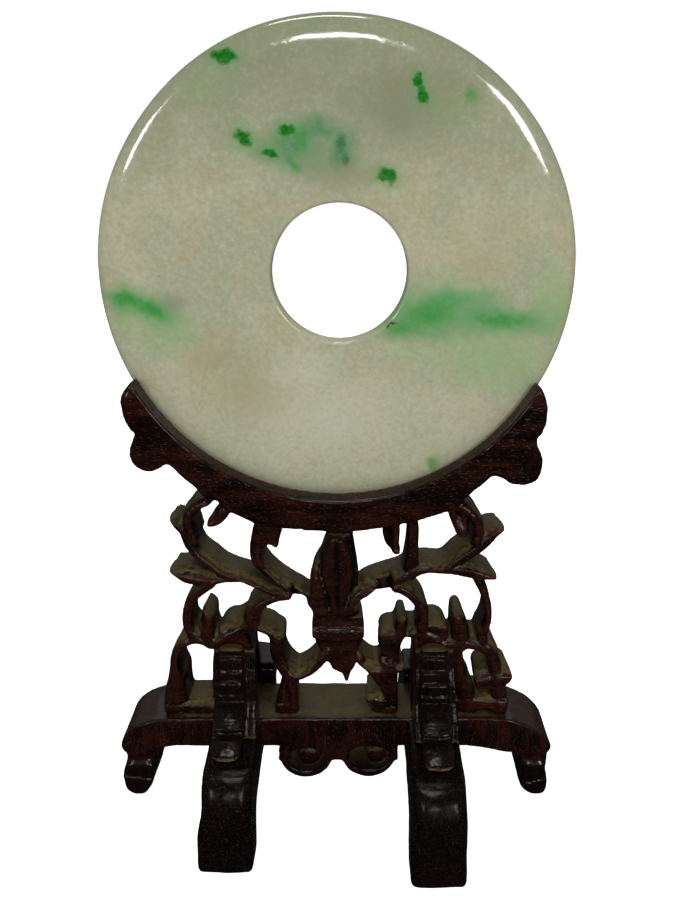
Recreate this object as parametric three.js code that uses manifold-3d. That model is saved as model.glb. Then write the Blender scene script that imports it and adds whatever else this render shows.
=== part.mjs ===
// Jade bi disc resting in the groove of a carved hardwood stand.
// Millimetres, +Z up, +X to the viewer's right, +Y away from the viewer.
// Origin: centre of the overall footprint, on the ground.
import * as THREE from 'three';
import { mergeVertices } from 'three/addons/utils/BufferGeometryUtils.js';
import Module from 'manifold-3d';

const wasm = await Module();
wasm.setup();

// ---------------------------------------------------------------- dimensions
const GAP = 0.35; // clearance between pieces that touch

// disc
const DISC_R = 65; // outer radius
const DISC_T = 7.5; // thickness of the flat part
const RIM_RUN = 8; // how far in from the edge the faces start to fall away
const HOLE_R = 18.45;
const HOLE_SHIFT = 0.9; // the drilled hole sits this far right of centre
const HOLE_CHAMFER = 0.85;
const DISC_X = 2.0; // the panel leans a little to the right of the base
const DISC_Z = 161.5;
const ROUND = 96; // facets round the disc

// panel: cradle and openwork are one carved board
const PANEL_T = 16;
const CRADLE_T = 18;
const CRADLE_IN_R = 62.3; // lips of the groove
const CRADLE_OUT_R = 73.3;
const GROOVE_W = DISC_T + 2 * GAP;

// base
const BEAM_TOP = 28;
const BEAM_BOTTOM = 18.4;
const BEAM_D = 21;
const APRON_D = 15;
const LOBE_R = 8.1;
const RUNNER = {
  left: { x0: -36.8, x1: -22.7, spread: 1.5, front: -44.1, back: 46.6 },
  right: { x0: 21.9, x1: 36.6, spread: 0.8, front: -49.6, back: 41.6 },
};
const ARCH_Z = 11.5; // underside of the runner at mid-length
const FOOT_L = 12.5; // length of a runner's foot on the ground

// ---------------------------------------------------------------- helpers
function manifold(geometry) {
  const g = geometry.clone();
  for (const name of Object.keys(g.attributes)) if (name !== 'position') g.deleteAttribute(name);
  const m = mergeVertices(g, 1e-4);
  return new wasm.Manifold(
    new wasm.Mesh({
      numProp: 3,
      vertProperties: new Float32Array(m.attributes.position.array),
      triVerts: new Uint32Array(m.index.array),
    }),
  );
}

function toGeometry(solid) {
  const mesh = solid.getMesh();
  const n = mesh.numProp;
  const pos = new Float32Array((mesh.vertProperties.length / n) * 3);
  for (let i = 0; i < pos.length / 3; i++)
    for (let k = 0; k < 3; k++) pos[3 * i + k] = mesh.vertProperties[n * i + k];
  const g = new THREE.BufferGeometry();
  g.setAttribute('position', new THREE.BufferAttribute(pos, 3));
  g.setIndex(new THREE.BufferAttribute(new Uint32Array(mesh.triVerts), 1));
  return g;
}

const basis = (x, y, z) => new THREE.Matrix4().makeBasis(x, y, z);
const X = new THREE.Vector3(1, 0, 0);
const Y = new THREE.Vector3(0, 1, 0);
const Z = new THREE.Vector3(0, 0, 1);

// a shape drawn in (x, z), thick from y0 to y1
function slabY(shape, y0, y1, curveSegments = 10) {
  const g = new THREE.ExtrudeGeometry(shape, { depth: y1 - y0, bevelEnabled: false, curveSegments });
  g.applyMatrix4(basis(X, Z, Y.clone().negate()));
  g.translate(0, y1, 0);
  return g;
}

// a shape drawn in (y, z), thick from x0 to x1
function slabX(shape, x0, x1, curveSegments = 10) {
  const g = new THREE.ExtrudeGeometry(shape, { depth: x1 - x0, bevelEnabled: false, curveSegments });
  g.applyMatrix4(basis(Y, Z, X));
  g.translate(x0, 0, 0);
  return g;
}

function block(x0, x1, y0, y1, z0, z1) {
  const g = new THREE.BoxGeometry(x1 - x0, y1 - y0, z1 - z0);
  g.translate((x0 + x1) / 2, (y0 + y1) / 2, (z0 + z1) / 2);
  return manifold(g);
}

const polygon = (pts) => new THREE.Shape(pts.map(([a, b]) => new THREE.Vector2(a, b)));

// outline of a ribbon that runs through stations [x, z, width], with round ends
function ribbonShape(stations, step = 2.8) {
  const curve = new THREE.CatmullRomCurve3(
    stations.map(([x, z, w]) => new THREE.Vector3(x, z, w / 2)),
    false,
    'centripetal',
  );
  const n = Math.max(3, Math.round(curve.getLength() / step));
  const pts = curve.getSpacedPoints(n);
  const left = [];
  const right = [];
  const dir = (i) => {
    const a = pts[Math.max(0, i - 1)];
    const b = pts[Math.min(n, i + 1)];
    return new THREE.Vector2(b.x - a.x, b.y - a.y).normalize();
  };
  for (let i = 0; i <= n; i++) {
    const d = dir(i);
    const r = Math.max(0.25, pts[i].z);
    left.push(new THREE.Vector2(pts[i].x - d.y * r, pts[i].y + d.x * r));
    right.push(new THREE.Vector2(pts[i].x + d.y * r, pts[i].y - d.x * r));
  }
  const cap = (i, sign) => {
    const r = Math.max(0.25, pts[i].z);
    const d = dir(i).multiplyScalar(sign);
    const start = Math.atan2(d.y, d.x) + Math.PI / 2;
    const m = r > 1.2 ? 5 : 2;
    const out = [];
    for (let k = 1; k < m; k++) {
      const a = start - (Math.PI * k) / m;
      out.push(new THREE.Vector2(pts[i].x + r * Math.cos(a), pts[i].y + r * Math.sin(a)));
    }
    return out;
  };
  // up the left side, over the far end, down the right side, over the near end
  return new THREE.Shape([...left, ...cap(n, 1), ...right.reverse(), ...cap(0, -1)]);
}

const ribbon = (stations, t = PANEL_T, step) => manifold(slabY(ribbonShape(stations, step), -t / 2, t / 2));

const sum = (solids) => solids.reduce((a, b) => a.add(b));

// ---------------------------------------------------------------- jade disc
function makeDisc() {
  const h = DISC_T / 2;
  const profile = [new THREE.Vector2(0, -h)];
  const steps = 7;
  for (let i = 0; i <= steps; i++) {
    // the face runs flat, then falls in a long soft curve to a round edge
    const a = (Math.PI / 2) * (i / steps);
    const r = DISC_R - RIM_RUN + RIM_RUN * Math.sin(a);
    profile.push(new THREE.Vector2(r, -h * Math.pow(Math.cos(a), 0.72)));
  }
  profile[profile.length - 1].set(DISC_R, 0);
  for (let i = profile.length - 2; i >= 0; i--) profile.push(new THREE.Vector2(profile[i].x, -profile[i].y));
  const disc = manifold(new THREE.LatheGeometry(profile, ROUND));
  const far = h + 1.5;
  const slope = far - (h - HOLE_CHAMFER);
  const drill = new THREE.LatheGeometry(
    [
      [0, -far],
      [HOLE_R + slope, -far],
      [HOLE_R, -(h - HOLE_CHAMFER)],
      [HOLE_R, h - HOLE_CHAMFER],
      [HOLE_R + slope, far],
      [0, far],
    ].map(([r, y]) => new THREE.Vector2(r, y)),
    64,
  );
  drill.translate(HOLE_SHIFT, 0, 0);
  return disc.subtract(manifold(drill));
}

// ---------------------------------------------------------------- cradle
// the crescent's ends, as [radius, degrees] about the disc's centre: a pointed tip, a long upper lobe, a notch and a
// round lower lobe on each side, cut slightly differently left and right
const LEFT_END = [
  [62.4, -153.6], [65.3, -153.0], [68.6, -151.2], [70.1, -149.2], [71.3, -146.5], [71.8, -143.8], [72.0, -142.8],
  [73.2, -142.1], [75.6, -141.1], [77.7, -139.5], [78.8, -137.3], [77.4, -134.8], [74.2, -133.3], [71.4, -132.7],
  [71.4, -129.8], [72.3, -126.2],
];
const RIGHT_END = [
  [72.6, -58.8], [71.7, -55.4], [71.9, -52.6], [73.5, -51.3], [77.3, -50.3], [80.3, -48.2], [81.3, -46.0],
  [79.8, -43.5], [76.2, -41.3], [73.6, -40.4], [72.6, -39.0], [71.9, -36.2], [70.3, -34.2], [68.2, -31.7],
  [65.3, -29.5], [62.9, -28.8],
];

function makeCradle() {
  const polar = ([r, deg]) => [r * Math.cos((deg * Math.PI) / 180), r * Math.sin((deg * Math.PI) / 180)];
  const outer = [...LEFT_END];
  for (let deg = -121; deg <= -63; deg += 6) {
    // a shallow swell where the openwork's stems spring from the underside
    const swell = 1.3 * Math.exp(-(((deg + 108) / 7) ** 2)) + 0.8 * Math.exp(-(((deg + 66) / 6) ** 2));
    outer.push([CRADLE_OUT_R + swell, deg]);
  }
  outer.push(...RIGHT_END);
  const curve = new THREE.CatmullRomCurve3(
    outer.map(polar).map(([x, z]) => new THREE.Vector3(x, z, 0)),
    false,
    'centripetal',
  );
  const shape = new THREE.Shape(curve.getPoints(88).map((p) => new THREE.Vector2(p.x, p.y)));
  const a0 = (-28.2 * Math.PI) / 180;
  const a1 = (-153.9 * Math.PI) / 180;
  const inner = [];
  for (let i = 1; i < 40; i++) {
    const a = a0 + ((a1 - a0) * i) / 40;
    inner.push(new THREE.Vector2(CRADLE_IN_R * Math.cos(a), CRADLE_IN_R * Math.sin(a)));
  }
  const all = new THREE.Shape([...shape.getPoints(), ...inner]);
  return manifold(slabY(all, -CRADLE_T / 2, CRADLE_T / 2)).translate([DISC_X, 0, DISC_Z]);
}

// ---------------------------------------------------------------- openwork
// ribbons [x, z, width] along leaves, stems and scrolls, each cut straight through the board
const OPENWORK = {
  leafUpperLeft: [[-46.6, 92.2, 0.5], [-45.0, 90.4, 2.1], [-42.9, 88.2, 3.2], [-41.6, 84.4, 3.6], [-39.5, 80.8, 2.8], [-36.2, 78.1, 2.6], [-33.3, 75.5, 2.5], [-29.6, 73.9, 2.0], [-25.8, 72.7, 1.7], [-22.1, 70.9, 1.9], [-18.0, 69.1, 1.7], [-13.3, 68.0, 1.5], [-9.8, 67.1, 1.4], [-6.9, 65.3, 1.6], [-4.0, 62.7, 1.4]],
  leafLowerLeft: [[-47.8, 75.9, 0.5], [-45.4, 74.8, 2.5], [-42.8, 73.9, 5.0], [-39.0, 73.1, 4.5], [-35.5, 72.9, 3.3], [-32.3, 73.1, 2.2], [-28.4, 73.0, 1.6]],
  bandLeft: [[-34.0, 100.0, 2.6], [-35.3, 97.9, 2.2], [-37.9, 96.8, 2.4], [-40.4, 95.0, 3.2], [-41.7, 91.9, 2.8], [-41.0, 88.8, 2.7], [-40.0, 86.0, 2.1]],
  tongueLeft: [[-30.0, 97.2, 4.2], [-32.1, 93.1, 3.3], [-33.9, 91.2, 2.4], [-35.5, 90.5, 1.1]],
  strutLeft: [[-18.2, 92.6, 8.4], [-19.1, 88.3, 7.5], [-21.2, 85.2, 4.8], [-22.6, 82.1, 3.0], [-22.3, 78.9, 3.0], [-20.1, 75.7, 2.1], [-17.3, 72.8, 1.6], [-13.5, 69.9, 1.5], [-9.8, 67.6, 1.3]],
  strutLeftHook: [[-17.6, 90.0, 6.6], [-17.4, 85.8, 3.6], [-16.5, 83.6, 0.9]],
  scrollLeft: [[-9.2, 67.0, 1.1], [-13.9, 67.2, 1.5], [-18.7, 66.4, 2.2], [-22.0, 64.4, 3.1], [-24.2, 61.5, 4.5], [-24.9, 58.7, 4.4], [-28.0, 56.7, 4.1], [-31.4, 54.9, 3.5], [-34.2, 53.2, 2.5]],
  stemLeftTop: [[-24.4, 57.8, 2.5], [-21.7, 56.5, 1.7], [-19.1, 55.1, 2.2], [-17.4, 52.6, 3.5]],
  stemLeft: [[-17.1, 52.1, 4.3], [-17.2, 49.8, 4.3], [-17.1, 47.0, 3.9], [-15.8, 43.6, 3.5], [-14.4, 40.9, 3.2]],
  veeLeft: [[-15.3, 42.9, 2.9], [-13.2, 41.2, 1.9], [-11.4, 40.2, 1.7], [-8.9, 41.2, 1.9], [-6.2, 43.2, 2.3], [-3.7, 46.3, 2.9], [-1.2, 49.0, 3.8]],
  legLeft: [[-13.6, 39.5, 4.3], [-14.0, 35.3, 5.2], [-14.7, 31.1, 6.3], [-15.2, 26.2, 7.3]],
  outerScrollLeft: [[-36.6, 71.6, 3.4], [-39.5, 69.4, 3.1], [-41.4, 67.5, 2.6], [-42.8, 64.5, 2.7], [-43.7, 61.6, 2.7], [-43.9, 58.6, 2.7], [-43.0, 55.8, 2.7], [-40.4, 53.9, 2.9], [-36.6, 52.6, 2.9]],
  knobLeft: [[-38.5, 61.7, 1.6], [-38.0, 59.6, 3.8], [-38.2, 56.5, 4.4], [-37.5, 52.9, 4.5]],
  lowerScrollLeft: [[-35.4, 51.3, 3.2], [-39.3, 52.9, 2.5], [-42.6, 53.2, 2.4], [-45.7, 51.7, 2.6], [-47.5, 49.2, 2.2], [-48.5, 46.1, 2.3], [-48.6, 42.7, 3.2], [-48.4, 38.9, 5.2], [-49.0, 34.7, 6.4], [-48.8, 26.1, 8.4]],
  footLeft: [[-50.8, 29.6, 3.4], [-44.6, 29.6, 3.6], [-35.0, 29.6, 3.6]],
  postLeft: [[-30.6, 48.4, 11.5], [-31.2, 40.2, 12.2], [-31.4, 18.5, 13.4]],
  postLeftTop: [[-30.6, 53.2, 9.6], [-30.8, 46.0, 11.6]],
  bud: [[2.1, 92.0, 7.5], [2.1, 88.2, 7.5], [2.1, 83.5, 7.8], [1.6, 79.8, 9.7], [1.2, 75.9, 11.6], [0.3, 71.8, 14.0], [-0.2, 67.9, 12.7], [-0.1, 63.0, 11.6], [0.1, 59.7, 12.2], [1.2, 56.7, 15.2], [1.3, 54.3, 14.7], [2.1, 51.8, 10.2], [2.0, 47.9, 9.7], [2.9, 45.6, 7.0], [3.5, 43.2, 3.0], [3.6, 39.6, 0.5]],
  hookRight: [[17.2, 91.4, 4.8], [17.2, 84.4, 4.2], [17.8, 82.3, 2.7], [19.0, 81.4, 1.2]],
  strutRight: [[23.2, 93.0, 3.3], [23.4, 85.9, 2.9], [23.3, 81.2, 3.3], [23.1, 77.7, 3.8], [22.8, 74.9, 4.2]],
  mainRight: [[3.1, 62.3, 1.4], [4.9, 65.6, 2.5], [7.3, 67.9, 2.5], [10.8, 70.0, 2.9], [15.2, 71.4, 3.4], [19.6, 73.0, 3.1], [22.8, 74.5, 3.4], [26.9, 76.0, 2.7], [31.2, 75.8, 2.4], [35.6, 75.8, 3.4], [40.0, 75.1, 4.4], [43.8, 74.1, 2.7], [47.6, 73.1, 0.5]],
  leafUpperRight: [[33.5, 76.4, 2.4], [37.5, 79.4, 3.9], [40.4, 81.4, 4.2], [42.9, 83.6, 4.5], [45.1, 85.8, 4.2], [47.0, 87.3, 2.5], [49.3, 88.4, 0.5]],
  tongueRight: [[34.6, 97.4, 4.4], [35.6, 93.8, 4.2], [36.9, 90.8, 4.5], [37.6, 88.0, 3.6]],
  bandRight: [[35.9, 96.4, 3.6], [37.6, 95.2, 3.2], [39.7, 93.8, 2.7], [41.5, 91.3, 2.8], [42.2, 88.2, 2.7], [41.7, 85.5, 2.4]],
  scrollRight: [[10.2, 68.5, 2.2], [15.2, 69.6, 2.8], [19.1, 69.9, 2.8], [22.0, 68.4, 2.8], [24.7, 65.8, 2.8], [26.5, 62.5, 2.8], [26.8, 59.6, 2.7], [26.2, 56.8, 3.1], [27.1, 54.8, 3.6], [29.6, 53.6, 3.8], [31.7, 52.0, 3.2]],
  outerScrollRight: [[42.2, 73.6, 2.8], [44.2, 69.0, 2.1], [45.2, 65.7, 1.9], [45.9, 62.5, 1.7], [45.9, 59.2, 1.7], [45.2, 56.2, 2.2], [44.3, 53.7, 2.8], [44.8, 50.6, 3.8]],
  sillRight: [[34.8, 51.4, 2.9], [38.3, 51.6, 2.9], [41.8, 51.2, 2.9], [45.5, 50.2, 3.2], [47.6, 48.2, 3.2]],
  prongRight: [[37.2, 59.4, 3.4], [37.5, 56.9, 4.7], [37.9, 52.2, 5.7]],
  knobRight: [[20.3, 58.3, 3.1], [20.0, 55.6, 3.8], [18.3, 52.2, 4.1]],
  linkRight: [[20.4, 55.4, 2.5], [23.0, 54.7, 2.4], [26.4, 55.2, 2.6]],
  stemRight: [[16.8, 52.0, 6.8], [17.1, 49.0, 5.1], [16.8, 46.2, 5.4], [16.2, 42.4, 5.8]],
  veeRight: [[5.8, 48.2, 2.8], [8.9, 44.6, 2.0], [12.0, 42.4, 2.4], [15.3, 42.8, 2.9], [18.3, 43.0, 2.6], [20.1, 43.2, 1.6]],
  braceRight: [[11.1, 42.4, 1.9], [13.5, 39.1, 2.4], [15.6, 36.4, 2.9], [16.8, 33.1, 3.9]],
  legRight: [[17.1, 43.0, 4.2], [17.1, 37.3, 3.9], [16.2, 31.8, 5.9], [15.0, 24.1, 8.6]],
  toeRight: [[11.0, 32.3, 2.6], [13.8, 31.6, 3.4], [15.4, 26.4, 6.0]],
  outerRight: [[46.6, 49.6, 3.8], [48.2, 45.5, 3.2], [48.8, 41.4, 4.0], [49.8, 36.5, 3.9], [50.3, 31.7, 5.0], [50.5, 24.0, 5.2]],
  toothRight: [[50.4, 39.8, 6.4], [48.4, 39.4, 8.2], [46.3, 39.1, 7.4]],
  wallRight: [[36.6, 51.4, 3.4], [37.2, 45.5, 3.5], [37.9, 40.7, 3.9], [39.9, 35.2, 4.9], [41.1, 24.9, 5.9]],
  footRight: [[39.0, 30.9, 3.9], [45.8, 30.9, 3.9], [50.6, 30.7, 4.2]],
  postRight: [[30.0, 48.4, 12.4], [30.1, 40.0, 13.2], [30.5, 18.5, 14.0]],
  postRightTop: [[30.0, 53.6, 9.0], [30.0, 46.0, 12.0]],
};

function makePanel(discSpace) {
  const lace = sum(Object.values(OPENWORK).map((s) => ribbon(s)));
  let panel = makeCradle().add(lace);
  // the board stands on the beam
  panel = panel.subtract(block(-90, 90, -30, 30, -10, BEAM_TOP + GAP));
  return panel.subtract(discSpace);
}

// the room the disc needs in the groove
function makeDiscSpace() {
  const g = new THREE.CylinderGeometry(DISC_R + GAP + 0.1, DISC_R + GAP + 0.1, GROOVE_W, ROUND);
  return manifold(g).translate([DISC_X, 0, DISC_Z]);
}

// ---------------------------------------------------------------- beam
// one end of the beam in (distance from centre, z): over the shoulder and in at the neck to the rolled foot, then
// back up the inner side to the underside
const END_LEFT = [
  [47, 28], [50.8, 27.95], [55.4, 27.4], [59.1, 26.4], [61.8, 25.1], [63.9, 23.3], [65.5, 21.0], [66.4, 18.7],
  [66.7, 16.4], [66.3, 14.2], [65.7, 12.0], [66.2, 9.6], [66.9, 7.2], [66.8, 4.2], [66.0, 1.7], [64.4, 0.3],
  [62.5, 0], [60.4, 0.2], [58.7, 2.2], [57.5, 4.8], [56.7, 7.5], [56.2, 10.0], [56.5, 12.6], [55.8, 15.4],
  [54.4, 16.9], [52.3, 17.9], [49.8, 18.35], [45.0, 18.4],
];
const END_RIGHT = [
  [47, 28], [51.4, 27.8], [55.6, 26.7], [59.0, 25.2], [61.9, 23.2], [64.2, 21.0], [65.7, 18.9], [66.4, 16.8],
  [66.4, 14.8], [65.7, 12.4], [65.0, 9.6], [65.5, 7.0], [65.9, 4.4], [65.8, 2.0], [64.9, 0.4], [63.2, 0],
  [60.8, 0.2], [58.2, 2.3], [57.1, 4.8], [57.5, 7.2], [57.8, 9.4], [56.9, 11.8], [54.9, 14.0], [52.3, 15.6],
  [48.6, 17.0], [44.8, 17.9], [40.5, 18.4],
];

function makeBeam() {
  const y = BEAM_D / 2;
  const bend = (end, side) =>
    new THREE.CatmullRomCurve3(
      end.map(([x, z]) => new THREE.Vector3(side * x, z, 0)),
      false,
      'centripetal',
    )
      .getSpacedPoints(38)
      .map((p) => new THREE.Vector2(p.x, Math.min(BEAM_TOP, Math.max(0, p.y))));
  let beam = manifold(slabY(new THREE.Shape([...bend(END_RIGHT, 1), ...bend(END_LEFT, -1).reverse()]), -y, y));
  // pendant apron with two hanging lobes, each hollowed by a scroll
  const apron = new THREE.Shape();
  apron.moveTo(-18.2, 20);
  apron.lineTo(-17.4, 15);
  apron.absarc(-9.2, 15.0, LOBE_R, Math.PI, -0.42, false);
  apron.lineTo(0.7, 12.0);
  apron.absarc(10.2, 15.4, LOBE_R + 0.2, Math.PI + 0.46, 0, false);
  apron.lineTo(19.9, 20);
  beam = beam.add(manifold(slabY(apron, -y + 0.2, -y + APRON_D, 14)));
  const hollow = (x, z, rx, rz) => {
    const e = new THREE.Shape();
    e.absellipse(x, z, rx, rz, 0, Math.PI * 2, false);
    return manifold(slabY(e, -y - 2, -y + 9.5, 9));
  };
  return beam
    .subtract(hollow(-8.8, 13.2, 4.7, 3.2))
    .subtract(hollow(9.6, 13.6, 5.6, 3.4));
}

// ---------------------------------------------------------------- runners
function makeRunner({ x0, x1, spread, front, back }) {
  const end = (y, dir) => [
    // shoulder and foot at one end, from the top down; dir points from the middle to this end
    [y - dir * 11.0, BEAM_TOP],
    [y - dir * 7.2, 27.1],
    [y - dir * 4.1, 24.8],
    [y - dir * 2.0, 21.4],
    [y - dir * 0.9, 17.0],
    [y - dir * 0.4, 10],
    [y, 1.0],
    [y - dir * 0.8, 0],
    [y - dir * FOOT_L, 0],
    [y - dir * (FOOT_L + 0.6), 2.5],
    [y - dir * (FOOT_L + 3.0), 7.0],
    [y - dir * (FOOT_L + 8.0), 10.3],
    [y - dir * (FOOT_L + 15.0), ARCH_Z],
  ];
  const side = polygon([...end(front, -1), ...end(back, 1).reverse()]);
  const lo = Math.min(x0, x0 - spread);
  // seen from the front the runner widens a little on its outer side towards the foot
  const face = polygon([
    [x0, BEAM_TOP + 1], [x0, 20], [lo, 9], [lo, -1], [x1, -1], [x1, BEAM_TOP + 1],
  ]);
  const notch = block(lo - 5, x1 + 5, -BEAM_D / 2 - GAP, BEAM_D / 2 + GAP, BEAM_BOTTOM - GAP, BEAM_TOP + 10);
  return manifold(slabX(side, lo - 1, x1 + 1))
    .intersect(manifold(slabY(face, front - 5, back + 5)))
    .subtract(notch);
}

// ---------------------------------------------------------------- brackets
// stepped front of a standing bracket as [distance out from the panel, height]; it stands on the runner's top
const STEPS = [
  [2.9, 52.9], [3.6, 51.8], [2.8, 50.4], [3.8, 49.4], [3.9, 45.6], [7.6, 44.2], [8.0, 42.8], [7.5, 37.9],
  [11.5, 36.6], [16.4, 33.9], [16.6, 32.9], [15.2, 31.9], [19.0, 32.3], [22.4, 30.6], [24.3, BEAM_TOP + GAP],
];
const STEPS_BODY = [
  [1.5, 51.4], [2.6, 46.0], [4.6, 41.0], [6.0, 36.2], [10.0, 33.4], [13.4, BEAM_TOP + GAP],
];

function makeBracket({ body, core, run, side, plinth, drop = 0 }) {
  const y0 = PANEL_T / 2 + GAP;
  const base = BEAM_TOP + GAP;
  const squash = 1 - drop / (STEPS[0][1] - base);
  const shape = (steps) => {
    const pts = [[0, base], [0, base + (steps[0][1] - base) * squash]];
    for (const [d, z] of steps) pts.push([d * run, base + (z - base) * squash]);
    return polygon(pts.map(([d, z]) => [side * (y0 + d), z]));
  };
  let solid = manifold(slabX(shape(STEPS), ...core)).add(manifold(slabX(shape(STEPS_BODY), ...body)));
  if (plinth) {
    // a rear bracket has a low block that reaches further in
    const { x0, x1, z, length } = plinth;
    solid = solid.add(block(x0, x1, Math.min(side * y0, side * (y0 + length)), Math.max(side * y0, side * (y0 + length)), base, z));
  }
  return solid;
}

// ---------------------------------------------------------------- assembly
const mat = (color, roughness) => new THREE.MeshStandardMaterial({ color, roughness, metalness: 0 });
const rosewood = { dark: '#2a1412', red: '#3b1712', black: '#1b1416' };

const stand = new THREE.Group();
const root = new THREE.Group();
root.add(stand);

function put(name, solid, material, parent = stand, at = [0, 0, 0]) {
  const mesh = new THREE.Mesh(toGeometry(solid), material);
  mesh.name = name;
  mesh.position.set(...at);
  parent.add(mesh);
  return mesh;
}

put('jade_disc', makeDisc(), mat('#b9bf9e', 0.22), root, [DISC_X, 0, DISC_Z]);
put('cradle_panel', makePanel(makeDiscSpace()), mat(rosewood.red, 0.4));
put('cross_beam', makeBeam(), mat(rosewood.dark, 0.4));
put('left_runner', makeRunner(RUNNER.left), mat(rosewood.black, 0.35));
put('right_runner', makeRunner(RUNNER.right), mat(rosewood.black, 0.35));
const frontLeft = { body: [-36.5, -22.9], core: [-35.0, -26.4], run: 1.0, side: -1 };
const frontRight = { body: [23.4, 36.5], core: [25.2, 34.2], run: 1.18, side: -1 };
const rearLeft = {
  body: [-36.5, -24.0], core: [-34.6, -26.0], run: 0.95, side: 1, drop: 2,
  plinth: { x0: -37.4, x1: -19.8, z: 36.4, length: 14 },
};
const rearRight = {
  body: [23.4, 35.6], core: [25.2, 33.8], run: 0.95, side: 1, drop: 2,
  plinth: { x0: 21.8, x1: 36.6, z: 34.2, length: 14 },
};
put('bracket_front_left', makeBracket(frontLeft), mat(rosewood.dark, 0.45));
put('bracket_front_right', makeBracket(frontRight), mat(rosewood.dark, 0.45));
put('bracket_rear_left', makeBracket(rearLeft), mat(rosewood.dark, 0.5));
put('bracket_rear_right', makeBracket(rearRight), mat(rosewood.dark, 0.5));

// the origin is the middle of the footprint, on the ground
const box = new THREE.Box3().setFromObject(root);
root.position.set(-(box.min.x + box.max.x) / 2, -(box.min.y + box.max.y) / 2, -box.min.z);
root.updateMatrixWorld(true);

export default root;
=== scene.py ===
import math

import bpy
import numpy as np
from mathutils import Matrix, Vector


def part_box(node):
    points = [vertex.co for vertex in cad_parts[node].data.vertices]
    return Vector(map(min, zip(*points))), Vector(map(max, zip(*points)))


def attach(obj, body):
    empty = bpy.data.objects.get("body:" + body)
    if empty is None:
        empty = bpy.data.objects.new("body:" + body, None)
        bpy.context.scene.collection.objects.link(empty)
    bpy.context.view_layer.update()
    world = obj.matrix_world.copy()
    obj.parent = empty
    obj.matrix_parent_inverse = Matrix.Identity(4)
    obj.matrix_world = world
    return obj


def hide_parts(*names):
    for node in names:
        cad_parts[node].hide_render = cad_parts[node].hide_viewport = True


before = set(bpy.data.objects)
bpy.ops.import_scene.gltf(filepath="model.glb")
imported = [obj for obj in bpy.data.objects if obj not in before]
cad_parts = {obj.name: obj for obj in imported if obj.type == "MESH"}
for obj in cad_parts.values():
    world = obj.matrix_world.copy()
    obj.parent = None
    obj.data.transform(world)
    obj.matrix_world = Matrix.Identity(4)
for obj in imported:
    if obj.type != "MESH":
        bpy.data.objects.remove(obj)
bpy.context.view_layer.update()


def node_box(name):
    """A CAD node's box in millimetres, in the row frame."""
    lo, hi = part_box(name)
    return np.array(lo) * 1000.0, np.array(hi) * 1000.0


# The stand is drawn about the middle of its beam; SHIFT takes that to the row frame. All lengths are millimetres.
disc_lo, disc_hi = node_box("jade_disc")
DISC = np.array([2.0, 0.0, 161.5])
SHIFT = (disc_lo + disc_hi) / 2.0 - DISC
DISC_R = (disc_hi[0] - disc_lo[0]) / 2.0
DISC_T = disc_hi[1] - disc_lo[1]


def local_box(name):
    lo, hi = node_box(name)
    return lo - SHIFT, hi - SHIFT


# ------------------------------------------------------------------------------------------------ noise
def waves(rng, count, size, dims):
    """Directions, phases and weights for a smooth random field with features of about that size."""
    out = []
    for _ in range(count):
        d = rng.normal(size=dims)
        d /= np.linalg.norm(d)
        k = 2 * np.pi / (size * rng.uniform(0.7, 1.6))
        out.append((d * k, rng.uniform(0, 2 * np.pi), rng.uniform(0.6, 1.0)))
    return out


def wobble(parts, field):
    """Adds up the waves at the given coordinates; roughly between -1 and 1."""
    total = 0.0
    power = 0.0
    for k, phase, weight in field:
        s = phase
        for c, ki in zip(parts, k):
            s = s + c * ki
        total = total + weight * np.sin(s)
        power += weight * weight
    return total / math.sqrt(power) * 0.75


def step(a, b, x):
    t = np.clip((x - a) / (b - a), 0.0, 1.0)
    return t * t * (3 - 2 * t)


def bell(x, centre, width):
    return np.exp(-(((x - centre) / width) ** 2))


# ------------------------------------------------------------------------------------------------ outlines
def catmull(points, per=6, closed=False):
    """Centripetal Catmull-Rom curve through points of any dimension."""
    p = np.array(points, float)
    n = len(p)
    if closed:
        idx = lambda i: p[i % n]
        spans = range(n)
    else:
        first, last = 2 * p[0] - p[1], 2 * p[-1] - p[-2]
        idx = lambda i: first if i < 0 else (last if i >= n else p[i])
        spans = range(n - 1)
    out = []
    for i in spans:
        p0, p1, p2, p3 = idx(i - 1), idx(i), idx(i + 1), idx(i + 2)
        gap = lambda a, b: max(np.linalg.norm(a - b) ** 0.5, 1e-4)
        t1 = gap(p0, p1)
        t2 = t1 + gap(p1, p2)
        t3 = t2 + gap(p2, p3)
        for j in range(per):
            t = t1 + (t2 - t1) * j / per
            a1 = p0 * (t1 - t) / t1 + p1 * t / t1
            a2 = p1 * (t2 - t) / (t2 - t1) + p2 * (t - t1) / (t2 - t1)
            a3 = p2 * (t3 - t) / (t3 - t2) + p3 * (t - t2) / (t3 - t2)
            b1 = a1 * (t2 - t) / t2 + a2 * t / t2
            b2 = a2 * (t3 - t) / (t3 - t1) + a3 * (t - t1) / (t3 - t1)
            out.append(b1 * (t2 - t) / (t2 - t1) + b2 * (t - t1) / (t2 - t1))
    if not closed:
        out.append(p[-1])
    return np.array(out)


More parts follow.
